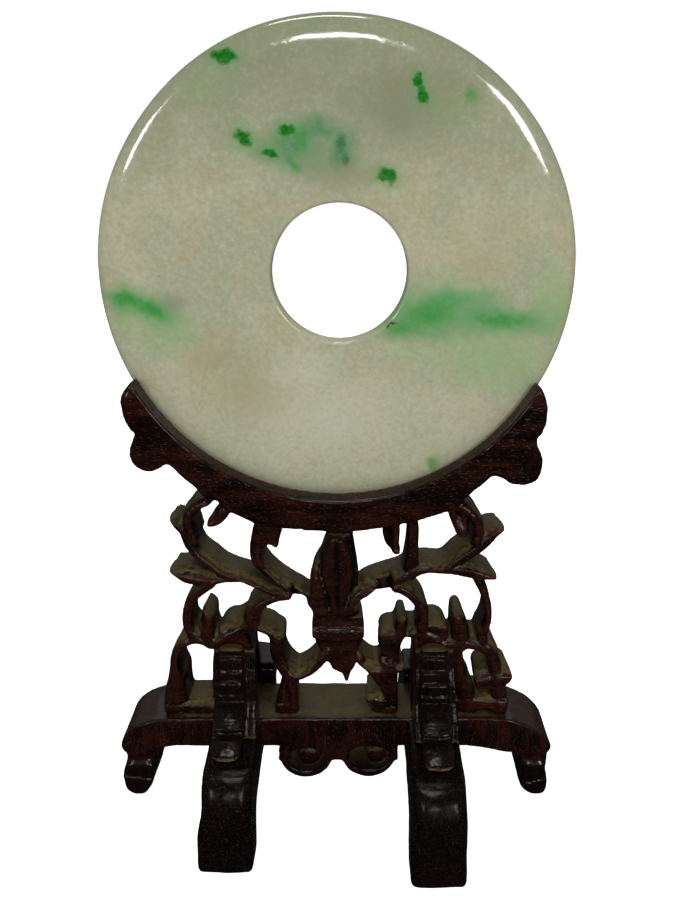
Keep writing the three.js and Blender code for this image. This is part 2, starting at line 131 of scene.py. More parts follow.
def polygon_distance(poly, x, z):
    """Signed distance from grid points to a closed outline, negative inside."""
    poly = np.asarray(poly, float)
    nxt = np.roll(poly, -1, axis=0)
    px, pz = np.broadcast_arrays(x, z)
    best = np.full(px.shape, 1e9)
    inside = np.zeros(px.shape, bool)
    for (ax, az), (bx, bz) in zip(poly, nxt):
        ex, ez = bx - ax, bz - az
        ll = ex * ex + ez * ez
        if ll < 1e-12:
            continue
        t = np.clip(((px - ax) * ex + (pz - az) * ez) / ll, 0, 1)
        best = np.minimum(best, (px - ax - t * ex) ** 2 + (pz - az - t * ez) ** 2)
        cross = (az > pz) != (bz > pz)
        if cross.any():
            with np.errstate(divide="ignore", invalid="ignore"):
                xi = ax + (pz - az) * ex / (ez if ez else 1e-12)
            inside ^= cross & (px < xi)
    d = np.sqrt(best)
    return np.where(inside, -d, d)


def ribbon_field(stations, x, z):
    """For a ribbon through stations (x, z, width): signed distance, place across it (-1 to 1), place along it in mm,
    and half width, at each grid point."""
    pts = catmull([(a, b, w / 2) for a, b, w in stations], per=5)
    px, pz = np.broadcast_arrays(x, z)
    best = np.full(px.shape, 1e9)
    across = np.zeros(px.shape)
    along = np.zeros(px.shape)
    half = np.ones(px.shape)
    s = 0.0
    for (ax, az, ra), (bx, bz, rb) in zip(pts[:-1], pts[1:]):
        ra, rb = max(ra, 0.25), max(rb, 0.25)
        ex, ez = bx - ax, bz - az
        ll = ex * ex + ez * ez
        if ll < 1e-9:
            continue
        length = math.sqrt(ll)
        t = np.clip(((px - ax) * ex + (pz - az) * ez) / ll, 0, 1)
        qx, qz = px - ax - t * ex, pz - az - t * ez
        r = ra + t * (rb - ra)
        d = np.sqrt(qx * qx + qz * qz) - r
        near = d < best
        side = (ex * qz - ez * qx) / length
        best = np.where(near, d, best)
        across = np.where(near, side / r, across)
        along = np.where(near, s + t * length, along)
        half = np.where(near, r, half)
        s += length
    return best, across, along, half, s


def smooth_min(a, b, k):
    h = np.maximum(k - np.abs(a - b), 0.0) / k
    return np.minimum(a, b) - h * h * k * 0.25


def round_max(a, b, r):
    """Intersection of two solids with the edge rounded to radius r."""
    return np.where((a > -r) & (b > -r), np.hypot(a + r, b + r) - r, np.maximum(a, b))


def smooth_max(a, b, k):
    return -smooth_min(-a, -b, k)


# ------------------------------------------------------------------------------------------------ meshing
def spaced(stops):
    """Grid lines through (start, stop, step) runs that follow one another."""
    out = [stops[0][0]]
    for lo, hi, st in stops:
        n = max(1, int(round((hi - lo) / st)))
        out.extend(lo + (hi - lo) * (i + 1) / n for i in range(n))
    return np.array(out)


def blur(volume, axes, sigma):
    """Gaussian blur of a volume on uneven grid lines; beyond the grid counts as air."""
    for n, line in enumerate(axes):
        width = np.gradient(line)
        k = np.exp(-0.5 * ((line[:, None] - line[None, :]) / sigma) ** 2) * width[None, :] / (sigma * math.sqrt(2 * np.pi))
        volume = np.moveaxis(np.tensordot(k.astype(np.float32), volume, axes=(1, n)), 0, n)
    return volume


def sample(volume, axes, p):
    """Trilinear value of a volume at points."""
    idx, fr = [], []
    for n, line in enumerate(axes):
        i = np.clip(np.searchsorted(line, p[:, n], side="right") - 1, 0, len(line) - 2)
        idx.append(i)
        fr.append(np.clip((p[:, n] - line[i]) / (line[i + 1] - line[i]), 0, 1))
    out = 0.0
    for a in (0, 1):
        for b in (0, 1):
            for c in (0, 1):
                w = (fr[0] if a else 1 - fr[0]) * (fr[1] if b else 1 - fr[1]) * (fr[2] if c else 1 - fr[2])
                out = out + w * volume[idx[0] + a, idx[1] + b, idx[2] + c]
    return out


def surface_nets(f, axes):
    """Closed quad mesh of the zero surface of f; the outside is positive and the grid's border is outside."""
    f = np.ascontiguousarray(f, np.float32)
    f = np.where(f == 0, np.float32(1e-6), f)
    for n in range(3):
        sl = [slice(None)] * 3
        for end in (0, -1):
            sl[n] = end
            f[tuple(sl)] = np.maximum(f[tuple(sl)], 0.05)
    s = f < 0
    c = np.zeros(tuple(k - 1 for k in f.shape), np.uint8)
    for a in (0, 1):
        for b in (0, 1):
            for d in (0, 1):
                c += s[a : a + c.shape[0], b : b + c.shape[1], d : d + c.shape[2]]
    active = (c > 0) & (c < 8)
    cell = np.full(c.shape, -1, np.int64)
    ijk = np.array(np.nonzero(active))
    cell[active] = np.arange(ijk.shape[1])
    pos = np.zeros((ijk.shape[1], 3))
    cnt = np.zeros(ijk.shape[1])
    for n in range(3):
        others = [m for m in range(3) if m != n]
        for a in (0, 1):
            for b in (0, 1):
                o = [0, 0, 0]
                o[others[0]], o[others[1]] = a, b
                q = list(o)
                q[n] = 1
                f0 = f[ijk[0] + o[0], ijk[1] + o[1], ijk[2] + o[2]]
                f1 = f[ijk[0] + q[0], ijk[1] + q[1], ijk[2] + q[2]]
                m = (f0 < 0) != (f1 < 0)
                t = f0[m] / (f0[m] - f1[m])
                for k in range(3):
                    pos[m, k] += o[k] if k != n else t
                cnt[m] += 1
    pos /= cnt[:, None]
    verts = np.empty_like(pos)
    for k in range(3):
        line = axes[k]
        verts[:, k] = line[ijk[k]] + pos[:, k] * (line[ijk[k] + 1] - line[ijk[k]])
    quads = []
    for n in range(3):
        u, v = (n + 1) % 3, (n + 2) % 3
        lo = [slice(None)] * 3
        hi = [slice(None)] * 3
        lo[n], hi[n] = slice(0, -1), slice(1, None)
        for m in (u, v):
            lo[m] = hi[m] = slice(1, -1)
        s0, s1 = s[tuple(lo)], s[tuple(hi)]
        for inside_first in (True, False):
            where = np.array(np.nonzero(s0 & ~s1 if inside_first else ~s0 & s1))
            base = where.copy()
            corners = []
            for du, dv in ((0, 0), (1, 0), (1, 1), (0, 1)):
                at = base.copy()
                at[u] += du
                at[v] += dv
                corners.append(cell[at[0], at[1], at[2]])
            if not inside_first:
                corners.reverse()
            quads.append(np.array(corners).T)
    return verts, np.concatenate(quads)


def mesh_object(name, verts, quads, material, node=None, attributes=None):
    """A smooth mesh object in the row frame from millimetre vertices."""
    me = bpy.data.meshes.new(name)
    nv, nq = len(verts), len(quads)
    me.vertices.add(nv)
    me.vertices.foreach_set("co", ((verts + SHIFT) / 1000.0).astype(np.float32).ravel())
    me.loops.add(4 * nq)
    me.loops.foreach_set("vertex_index", quads.astype(np.int32).ravel())
    me.polygons.add(nq)
    me.polygons.foreach_set("loop_start", np.arange(0, 4 * nq, 4, dtype=np.int32))
    me.polygons.foreach_set("use_smooth", np.ones(nq, bool))
    me.update(calc_edges=True)
    for key, value in (attributes or {}).items():
        layer = me.attributes.new(key, "FLOAT", "POINT")
        layer.data.foreach_set("value", np.asarray(value, np.float32))
    me.materials.append(material)
    ob = bpy.data.objects.new(name, me)
    bpy.context.scene.collection.objects.link(ob)
    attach(ob, "root")
    if node:
        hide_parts(node)
    print("piece", name, "quads", nq, flush=True)
    return ob


def carve(name, f, axes, material, node, front=None, cavity=1.6, cuts=None):
    """Meshes a solid, keeps it inside its CAD node's box and stores how hollow and how deep each point lies."""
    verts, quads = surface_nets(f, axes)
    solid = blur((f < 0).astype(np.float32), axes, cavity)
    hollow = sample(solid, axes, verts)
    wide = blur((f < 0).astype(np.float32), axes, cavity * 2.6)
    shade = sample(wide, axes, verts)
    lo, hi = local_box(node)
    verts = np.clip(verts, lo, hi)
    deep = np.zeros(len(verts)) if front is None else front(verts)
    crease = np.zeros(len(verts)) if cuts is None else cuts(verts)
    return mesh_object(name, verts, quads, material, node, {"hollow": hollow, "shade": shade, "deep": deep, "crease": crease})

# light levels
L = {"top": 1.8, "key": 23.0, "fill": 6.0, "back": 1.2, "rear": 8.5, "world": 0.15, "front_tone": 0.10, "sky": 0.25, "glow": 0.90}


# ------------------------------------------------------------------------------------------------ jade disc
def make_disc(material):
    """The disc as rings about the hole: soft faces, a long fall to a round rim, a drilled hole with worn edges."""
    rng = np.random.default_rng(41)
    swell = waves(rng, 9, 34.0, 2)
    lumps = waves(rng, 12, 9.0, 2)
    around = waves(rng, 7, 60.0, 2)
    h = DISC_T / 2.0
    hole_r, shift = 18.45, 0.9
    # profile on one side as (share of the way from hole to edge, radius, depth below the face); 0 depth is the face
    prof = []
    for i in range(9):  # worn edge of the hole, from inside the drilling out on to the face
        a = (math.pi / 2) * i / 8
        prof.append((hole_r + 0.95 * (1 - math.cos(a)), 0.95 * (1 - math.sin(a))))
    for r in np.linspace(hole_r + 1.35, DISC_R - 9.0, 46):
        prof.append((r, 0.0))
    for i in range(0, 31):  # from the face over the rim to the middle plane
        a = (math.pi / 2) * i / 30
        r = DISC_R - 8.0 + 8.0 * math.sin(a)
        prof.append((r, h - h * max(math.cos(a), 0.0) ** 0.72))
    prof = np.array(prof)
    n_t = 384
    th = np.arange(n_t) * 2 * math.pi / n_t
    rings = []
    inner = np.linspace(-1, 1, 7)[1:-1]  # rings down the wall of the drilling
    sides = []
    for sign in (-1, 1):
        pts = []
        for r, drop in prof:
            u = np.clip((DISC_R - 8.0 - r) / (DISC_R - 8.0 - hole_r), 0, 1)
            x = r * np.cos(th) + shift * u
            z = r * np.sin(th)
            face = np.clip(1 - drop / h, 0, 1)
            bump = 0.085 * wobble((x, z), swell) + 0.022 * wobble((x, z), lumps)
            y = (h - drop - 0.10) + bump * np.minimum(face * 3, 1)
            if r > DISC_R - 9.0:
                y = np.where(y > 0, y, 0) if drop < h else y * 0
                edge = 0.22 * wobble((DISC_R * np.cos(th), DISC_R * np.sin(th)), around) * step(DISC_R - 9, DISC_R, r)
                k = 1 - (0.16 - edge * 0.5) / DISC_R * step(DISC_R - 9, DISC_R, r)
                x, z = x * k, z * k
            pts.append(np.stack([x, sign * y, z], 1))
        sides.append(pts)
    wall = []
    for w in inner:
        wall.append(np.stack([hole_r * np.cos(th) + shift, np.full(n_t, w * (h - 1.05)), hole_r * np.sin(th)], 1))
    # one closed loop of rings: back hole edge out to rim, then front rim in to the hole edge, then the drilling's wall
    back, front = sides[1], sides[0]
    rings = back[:-1] + [back[-1]] + front[:-1][::-1] + wall
    m = len(rings)
    verts = np.concatenate(rings) + DISC
    i, j = np.meshgrid(np.arange(m), np.arange(n_t), indexing="ij")
    a = i * n_t + j
    b = ((i + 1) % m) * n_t + j
    c = ((i + 1) % m) * n_t + (j + 1) % n_t
    d = i * n_t + (j + 1) % n_t
    quads = np.stack([a, d, c, b], -1).reshape(-1, 4)
    verts = np.clip(verts, disc_lo - SHIFT, disc_hi - SHIFT)
    return mesh_object("disc", verts, quads, material, "jade_disc")


# ------------------------------------------------------------------------------------------------ cradle and openwork
CRADLE_IN_R, CRADLE_OUT_R = 62.3, 73.3
LEFT_END = [
    (62.4, -153.6), (65.3, -153.0), (68.6, -151.2), (70.1, -149.2), (71.3, -146.5), (71.8, -143.8), (72.0, -142.8),
    (73.2, -142.1), (75.6, -141.1), (77.7, -139.5), (78.8, -137.3), (77.4, -134.8), (74.2, -133.3), (71.4, -132.7),
    (71.4, -129.8), (72.3, -126.2),
]
RIGHT_END = [
    (72.6, -58.8), (71.7, -55.4), (71.9, -52.6), (73.5, -51.3), (77.3, -50.3), (80.3, -48.2), (81.3, -46.0),
    (79.8, -43.5), (76.2, -41.3), (73.6, -40.4), (72.6, -39.0), (71.9, -36.2), (70.3, -34.2), (68.2, -31.7),
    (65.3, -29.5), (62.9, -28.8),
]
# openwork ribbons as (x, z, width) along leaves, stems and scrolls
OPENWORK = {
    "leafUpperLeft": [(-46.6, 92.2, 0.5), (-45, 90.4, 2.1), (-42.9, 88.2, 3.2), (-41.6, 84.4, 3.6), (-39.5, 80.8, 2.8), (-36.2, 78.1, 2.6), (-33.3, 75.5, 2.5), (-29.6, 73.9, 2), (-25.8, 72.7, 1.7), (-22.1, 70.9, 1.9), (-18, 69.1, 1.7), (-13.3, 68, 1.5), (-9.8, 67.1, 1.4), (-6.9, 65.3, 1.6), (-4, 62.7, 1.4)],
    "leafLowerLeft": [(-47.8, 75.9, 0.5), (-45.4, 74.8, 2.5), (-42.8, 73.9, 5), (-39, 73.1, 4.5), (-35.5, 72.9, 3.3), (-32.3, 73.1, 2.2), (-28.4, 73, 1.6)],
    "bandLeft": [(-34, 100, 2.6), (-35.3, 97.9, 2.2), (-37.9, 96.8, 2.4), (-40.4, 95, 3.2), (-41.7, 91.9, 2.8), (-41, 88.8, 2.7), (-40, 86, 2.1)],
    "tongueLeft": [(-30, 97.2, 4.2), (-32.1, 93.1, 3.3), (-33.9, 91.2, 2.4), (-35.5, 90.5, 1.1)],
    "strutLeft": [(-18.2, 92.6, 8.4), (-19.1, 88.3, 7.5), (-21.2, 85.2, 4.8), (-22.6, 82.1, 3), (-22.3, 78.9, 3), (-20.1, 75.7, 2.1), (-17.3, 72.8, 1.6), (-13.5, 69.9, 1.5), (-9.8, 67.6, 1.3)],
    "strutLeftHook": [(-17.6, 90, 6.6), (-17.4, 85.8, 3.6), (-16.5, 83.6, 0.9)],
    "scrollLeft": [(-9.2, 67, 1.1), (-13.9, 67.2, 1.5), (-18.7, 66.4, 2.2), (-22, 64.4, 3.1), (-24.2, 61.5, 4.5), (-24.9, 58.7, 4.4), (-28, 56.7, 4.1), (-31.4, 54.9, 3.5), (-34.2, 53.2, 2.5)],
    "stemLeftTop": [(-24.4, 57.8, 2.5), (-21.7, 56.5, 1.7), (-19.1, 55.1, 2.2), (-17.4, 52.6, 3.5)],
    "stemLeft": [(-17.1, 52.1, 4.3), (-17.2, 49.8, 4.3), (-17.1, 47, 3.9), (-15.8, 43.6, 3.5), (-14.4, 40.9, 3.2)],
    "veeLeft": [(-15.3, 42.9, 2.9), (-13.2, 41.2, 1.9), (-11.4, 40.2, 1.7), (-8.9, 41.2, 1.9), (-6.2, 43.2, 2.3), (-3.7, 46.3, 2.9), (-1.2, 49, 3.8)],
    "legLeft": [(-13.6, 39.5, 4.3), (-14, 35.3, 5.2), (-14.7, 31.1, 6.3), (-15.2, 26.2, 7.3)],
    "outerScrollLeft": [(-36.6, 71.6, 3.4), (-39.5, 69.4, 3.1), (-41.4, 67.5, 2.6), (-42.8, 64.5, 2.7), (-43.7, 61.6, 2.7), (-43.9, 58.6, 2.7), (-43, 55.8, 2.7), (-40.4, 53.9, 2.9), (-36.6, 52.6, 2.9)],
    "knobLeft": [(-38.5, 61.7, 1.6), (-38, 59.6, 3.8), (-38.2, 56.5, 4.4), (-37.5, 52.9, 4.5)],
    "lowerScrollLeft": [(-35.4, 51.3, 3.2), (-39.3, 52.9, 2.5), (-42.6, 53.2, 2.4), (-45.7, 51.7, 2.6), (-47.5, 49.2, 2.2), (-48.5, 46.1, 2.3), (-48.6, 42.7, 3.2), (-48.4, 38.9, 5.2), (-49, 34.7, 6.4), (-48.8, 26.1, 8.4)],
    "footLeft": [(-50.8, 29.6, 3.4), (-44.6, 29.6, 3.6), (-35, 29.6, 3.6)],
    "postLeft": [(-30.6, 48.4, 11.5), (-31.2, 40.2, 12.2), (-31.4, 18.5, 13.4)],
    "postLeftTop": [(-30.6, 53.2, 9.6), (-30.8, 46, 11.6)],
    "bud": [(2.1, 92, 7.5), (2.1, 88.2, 7.5), (2.1, 83.5, 7.8), (1.6, 79.8, 9.7), (1.2, 75.9, 11.6), (0.3, 71.8, 14), (-0.2, 67.9, 12.7), (-0.1, 63, 11.6), (0.1, 59.7, 12.2), (1.2, 56.7, 15.2), (1.3, 54.3, 14.7), (2.1, 51.8, 10.2), (2, 47.9, 9.7), (2.9, 45.6, 7), (3.5, 43.2, 3), (3.6, 39.6, 0.5)],
    "hookRight": [(17.2, 91.4, 4.8), (17.2, 84.4, 4.2), (17.8, 82.3, 2.7), (19, 81.4, 1.2)],
    "strutRight": [(23.2, 93, 3.3), (23.4, 85.9, 2.9), (23.3, 81.2, 3.3), (23.1, 77.7, 3.8), (22.8, 74.9, 4.2)],
    "mainRight": [(3.1, 62.3, 1.4), (4.9, 65.6, 2.5), (7.3, 67.9, 2.5), (10.8, 70, 2.9), (15.2, 71.4, 3.4), (19.6, 73, 3.1), (22.8, 74.5, 3.4), (26.9, 76, 2.7), (31.2, 75.8, 2.4), (35.6, 75.8, 3.4), (40, 75.1, 4.4), (43.8, 74.1, 2.7), (47.6, 73.1, 0.5)],
    "leafUpperRight": [(33.5, 76.4, 2.4), (37.5, 79.4, 3.9), (40.4, 81.4, 4.2), (42.9, 83.6, 4.5), (45.1, 85.8, 4.2), (47, 87.3, 2.5), (49.3, 88.4, 0.5)],
    "tongueRight": [(34.6, 97.4, 4.4), (35.6, 93.8, 4.2), (36.9, 90.8, 4.5), (37.6, 88, 3.6)],
    "bandRight": [(35.9, 96.4, 3.6), (37.6, 95.2, 3.2), (39.7, 93.8, 2.7), (41.5, 91.3, 2.8), (42.2, 88.2, 2.7), (41.7, 85.5, 2.4)],
    "scrollRight": [(10.2, 68.5, 2.2), (15.2, 69.6, 2.8), (19.1, 69.9, 2.8), (22, 68.4, 2.8), (24.7, 65.8, 2.8), (26.5, 62.5, 2.8), (26.8, 59.6, 2.7), (26.2, 56.8, 3.1), (27.1, 54.8, 3.6), (29.6, 53.6, 3.8), (31.7, 52, 3.2)],
    "outerScrollRight": [(42.2, 73.6, 2.8), (44.2, 69, 2.1), (45.2, 65.7, 1.9), (45.9, 62.5, 1.7), (45.9, 59.2, 1.7), (45.2, 56.2, 2.2), (44.3, 53.7, 2.8), (44.8, 50.6, 3.8)],
    "sillRight": [(34.8, 51.4, 2.9), (38.3, 51.6, 2.9), (41.8, 51.2, 2.9), (45.5, 50.2, 3.2), (47.6, 48.2, 3.2)],
    "prongRight": [(37.2, 59.4, 3.4), (37.5, 56.9, 4.7), (37.9, 52.2, 5.7)],
    "knobRight": [(20.3, 58.3, 3.1), (20, 55.6, 3.8), (18.3, 52.2, 4.1)],
    "linkRight": [(20.4, 55.4, 2.5), (23, 54.7, 2.4), (26.4, 55.2, 2.6)],
    "stemRight": [(16.8, 52, 6.8), (17.1, 49, 5.1), (16.8, 46.2, 5.4), (16.2, 42.4, 5.8)],
    "veeRight": [(5.8, 48.2, 2.8), (8.9, 44.6, 2), (12, 42.4, 2.4), (15.3, 42.8, 2.9), (18.3, 43, 2.6), (20.1, 43.2, 1.6)],
    "braceRight": [(11.1, 42.4, 1.9), (13.5, 39.1, 2.4), (15.6, 36.4, 2.9), (16.8, 33.1, 3.9)],
    "legRight": [(17.1, 43, 4.2), (17.1, 37.3, 3.9), (16.2, 31.8, 5.9), (15, 24.1, 8.6)],
    "toeRight": [(11, 32.3, 2.6), (13.8, 31.6, 3.4), (15.4, 26.4, 6)],
    "outerRight": [(46.6, 49.6, 3.8), (48.2, 45.5, 3.2), (48.8, 41.4, 4), (49.8, 36.5, 3.9), (50.3, 31.7, 5), (50.5, 24, 5.2)],
    "toothRight": [(50.4, 39.8, 6.4), (48.4, 39.4, 8.2), (46.3, 39.1, 7.4)],
    "wallRight": [(36.6, 51.4, 3.4), (37.2, 45.5, 3.5), (37.9, 40.7, 3.9), (39.9, 35.2, 4.9), (41.1, 24.9, 5.9)],
    "footRight": [(39, 30.9, 3.9), (45.8, 30.9, 3.9), (50.6, 30.7, 4.2)],
    "postRight": [(30, 48.4, 12.4), (30.1, 40, 13.2), (30.5, 18.5, 14)],
    "postRightTop": [(30, 53.6, 9), (30, 46, 12)],
}
# how each ribbon's front is carved: shape across, how far its edges drop, how far its crown lies behind the board's
# front (minus is proud), where across the crown lies, grooves as (place across, depth, width), and cross ribs as
# (spacing, depth)
CARVING = {
    "leafUpperLeft": ("ridge", 1.5, -0.25, 0.15, [], None),
    "leafLowerLeft": ("ridge", 1.3, -0.05, -0.1, [], None),
    "bandLeft": ("round", 1.0, -0.7, 0.0, [], (1.9, 0.22)),
    "tongueLeft": ("round", 0.9, -0.2, 0.0, [(0.0, 0.25, 0.2)], None),
    "strutLeft": ("round", 0.5, 0.25, 0.1, [(-0.35, 0.3, 0.12), (0.3, 0.3, 0.12)], None),
    "strutLeftHook": ("ridge", 0.9, 0.35, 0.0, [], None),
    "scrollLeft": ("round", 0.8, -0.15, 0.0, [(0.35, 0.4, 0.16)], None),
    "stemLeftTop": ("ridge", 0.7, 0.3, 0.0, [], None),
    "stemLeft": ("round", 0.6, 0.2, 0.0, [(-0.3, 0.35, 0.14), (0.35, 0.35, 0.14)], None),
    "veeLeft": ("ridge", 0.8, 0.2, 0.3, [], None),
    "legLeft": ("flat", 0.4, 0.1, 0.0, [], None),
    "outerScrollLeft": ("round", 0.8, -0.1, 0.0, [(0.3, 0.3, 0.2)], None),
    "knobLeft": ("round", 0.9, -0.25, 0.0, [], None),
    "lowerScrollLeft": ("round", 0.9, -0.2, 0.1, [(-0.3, 0.35, 0.16)], None),
    "footLeft": ("flat", 0.3, 0.15, 0.0, [], None),
    "postLeft": ("flat", 0.3, 0.5, 0.0, [], None),
    "postLeftTop": ("flat", 0.3, 0.6, 0.0, [], None),
    "bud": ("round", 1.1, 0.55, 0.0, [], None),
    "hookRight": ("round", 0.5, 0.35, 0.0, [(0.0, 0.25, 0.2)], None),
    "strutRight": ("round", 0.5, 0.3, 0.0, [(0.2, 0.25, 0.25)], None),
    "mainRight": ("ridge", 1.2, -0.15, 0.2, [], None),
    "leafUpperRight": ("ridge", 1.4, -0.2, 0.1, [], None),
    "tongueRight": ("round", 0.9, -0.2, 0.0, [(0.15, 0.6, 0.22)], None),
    "bandRight": ("round", 1.0, -0.7, 0.0, [], (1.9, 0.22)),
    "scrollRight": ("round", 0.9, -0.1, 0.0, [(-0.3, 0.4, 0.18)], None),
    "outerScrollRight": ("round", 0.7, 0.1, 0.0, [], None),
    "sillRight": ("round", 0.7, -0.1, 0.2, [], None),
    "prongRight": ("round", 0.9, -0.2, 0.0, [], (2.6, 0.2)),
    "knobRight": ("round", 0.9, 0.0, 0.0, [(0.1, 0.5, 0.25)], None),
    "linkRight": ("round", 0.6, 0.4, 0.0, [], None),
    "stemRight": ("ridge", 0.9, 0.1, -0.2, [(0.5, 0.4, 0.15)], None),
    "veeRight": ("ridge", 0.9, 0.0, -0.3, [], None),
    "braceRight": ("ridge", 0.8, 0.1, 0.0, [], None),
    "legRight": ("flat", 0.4, 0.2, 0.0, [], None),
    "toeRight": ("ridge", 0.6, 0.2, 0.0, [], None),
    "outerRight": ("round", 0.9, -0.1, -0.1, [(0.3, 0.35, 0.18)], None),
    "toothRight": ("ridge", 1.6, -0.35, -0.15, [], None),
    "wallRight": ("round", 0.6, 0.2, 0.0, [], None),
    "footRight": ("flat", 0.3, 0.15, 0.0, [], None),
    "postRight": ("flat", 0.3, 0.5, 0.0, [], None),
    "postRightTop": ("flat", 0.3, 0.6, 0.0, [], None),
}


def polar(r, deg):
    a = math.radians(deg)
    return (DISC[0] + r * math.cos(a), DISC[2] + r * math.sin(a))


def cradle_outline():
    outer = list(LEFT_END)
    for deg in range(-121, -62, 4):
        swell = 1.3 * math.exp(-(((deg + 108) / 7) ** 2)) + 0.8 * math.exp(-(((deg + 66) / 6) ** 2))
        outer.append((CRADLE_OUT_R + swell, deg))
    outer += RIGHT_END
    pts = catmull([polar(*p) for p in outer], per=5)
    inner = [polar(54.0, -28.6 + (-153.8 + 28.6) * i / 30) for i in range(31)]
    return np.concatenate([pts, inner])


# the bud's petals and calyx, drawn on the board's front as (x, z)
PETAL = [(-1.2, 86.4), (-2.4, 83.4), (-3.0, 80.8), (-3.2, 77.9), (-3.9, 76.0), (-3.2, 72.8), (-2.4, 70.0), (-1.5, 66.4),
         (-0.4, 61.8), (2.6, 61.8), (4.2, 66.4), (5.4, 70.1), (6.0, 74.8), (6.1, 79.6), (5.2, 83.3), (3.8, 85.6), (1.3, 86.7)]
SEPAL_LEFT = [(-7.4, 62.0), (-7.4, 67.6), (-6.5, 71.8), (-4.9, 76.2), (-3.6, 73.6), (-2.2, 69.4), (-0.5, 62.0)]
SEPAL_RIGHT = [(3.0, 62.2), (4.4, 66.3), (6.4, 69.0), (9.4, 70.6), (13.0, 70.4), (10.0, 67.6), (7.6, 64.2), (6.6, 61.8)]


def make_panel(material):
    rng = np.random.default_rng(7)
    h = 0.535
    xs = np.arange(-59.6, 61.6, h)
    zs = np.arange(27.0, 135.2, h)
    ys = spaced([(-9.9, -5.7, 0.42), (-5.7, -4.5, 0.6), (-4.5, 4.5, 2.25), (4.5, 7.2, 1.0), (7.2, 9.9, 0.62)])
    x, z = xs[:, None], zs[None, :]
    # silhouettes with their front relief
    far = 9.0
    shape = np.full((len(xs), len(zs)), far)
    depth = np.full_like(shape, 5.0)
    for name, stations in OPENWORK.items():
        st = np.array(stations)
        pad = st[:, 2].max() / 2 + 4.0
        i0, i1 = np.searchsorted(xs, [st[:, 0].min() - pad, st[:, 0].max() + pad])
        k0, k1 = np.searchsorted(zs, [st[:, 1].min() - pad, st[:, 1].max() + pad])
        d, t, s, r, length = ribbon_field(stations, xs[i0:i1, None], zs[None, k0:k1])
        kind, drop, base, crown, grooves, ribs = CARVING[name]
        u = np.clip((t - crown) / (1 + np.where(t > crown, -crown, crown)), -1.2, 1.2)
        if kind == "ridge":
            prof = np.sqrt(u * u + 0.01) - 0.1
        elif kind == "round":
            prof = u * u
        else:
            prof = u ** 4
        amount = drop * np.clip(r / 1.6, 0.35, 1.25)
        local = base + amount * prof
        for at, dep, wid in grooves:
            local = local + 1.5 * dep * np.exp(-(((t - at) / (1.15 * wid)) ** 2)) * step(0.5, 2.5, s) * step(0.5, 2.5, length - s)
        if ribs:
            local = local + ribs[1] * (0.5 - 0.5 * np.cos(2 * np.pi * s / ribs[0])) ** 2
        local = local + np.maximum(d, 0) * 2.2
        win = (slice(i0, i1), slice(k0, k1))
        shape[win] = smooth_min(shape[win], d, 0.7)
        depth[win] = smooth_min(depth[win], local, 0.35)
    # the bud: petals stand out of the board, with dark valleys between them
    bx = slice(*np.searchsorted(xs, [-12, 17]))
    bz = slice(*np.searchsorted(zs, [36, 94]))
    gx, gz = xs[bx, None], zs[None, bz]
    bud = depth[bx, bz].copy()
    bud = np.where(gz > 63, np.maximum(bud, 0.45 + 0.035 * (gx - 1.3) ** 2), bud)
    petal = polygon_distance(catmull(PETAL, 4, closed=True), gx, gz)
    left = polygon_distance(catmull(SEPAL_LEFT, 4, closed=True), gx, gz)
    right = polygon_distance(catmull(SEPAL_RIGHT, 4, closed=True), gx, gz)
    crown = -0.75 + 0.055 * (gx - 1.25) ** 2 + 0.6 * step(70, 62, gz) * 1.0
    crown = crown + 0.95 * np.exp(-(((gx - 1.15) / 0.50) ** 2)) * step(60.5, 63.5, gz) * step(87, 84, gz)
    crown = crown + 0.12 * np.sin((gz + 0.5 * np.abs(gx - 1.2)) * 3.1) ** 2
    bud = np.where(petal < 0.9, smooth_min(bud + 0.0, crown + np.maximum(petal + 0.25, 0) * 4.0, 0.25), bud)
    lh = -0.45 + 0.10 * (gx + 4.6) ** 2 + 0.25 * np.sin(gz * 1.2) ** 2
    rh = -0.35 + 0.35 * np.abs((gz - 66.6) - 0.62 * (gx - 8.0)) * 0.6
    bud = np.where((left < 0.8), smooth_min(bud, lh + np.maximum(left + 0.2, 0) * 4.0, 0.25), bud)
    bud = np.where((right < 0.8), smooth_min(bud, rh + np.maximum(right + 0.2, 0) * 4.0, 0.25), bud)
    valley = np.exp(-(((petal) / 0.50) ** 2)) * step(86.3, 84.0, gz) * step(61.5, 64.5, gz)
    bud = bud + 0.95 * valley
    # calyx: a dusty ledge, a proud ring, and a turned end with a pendant drop
    inside_bud = shape[bx, bz] < 1.2
    ring_top = 57.3 - 0.012 * (gx - 1.0) ** 2
    waist = 0.35 + 0.02 * (gx - 1.0) ** 2
    lower = np.where(gz > 60.6, bud, waist)
    lower = np.where((gz <= 60.6) & (gz > ring_top), 0.55 - 0.25 * step(ring_top + 3.2, ring_top, gz) + 0.018 * (gx - 1) ** 2, lower)
    lower = np.where((gz <= ring_top) & (gz > 53.3), -0.7 + 0.022 * (gx - 1.2) ** 2 + 0.22 * ((gz - 55.2) / 1.9) ** 2, lower)
    lower = np.where((gz <= 53.3), 0.35 + 0.035 * (gx - 2.2) ** 2 + 0.1 * np.sin(gz * 2.3) ** 2, lower)
    drop_ridge = 0.1 + 0.42 * np.abs(gx - 2.9 - 0.05 * (49 - gz))
    lower = np.where(gz < 47.8, smooth_min(lower, drop_ridge, 0.3), lower)
    only_bud = (np.abs(gx - 1.5) < 9.2) & ((gz > 50.5) | (np.abs(gx - 3.0) < 4.2)) & inside_bud
    bud = np.where(only_bud & (gz <= 60.6), lower, bud)
    # the neck under the cradle lies behind the bud's shoulder
    bud = np.where(gz > 87.1, 1.7 + 0.02 * (gx - 2) ** 2, bud)
    depth[bx, bz] = bud
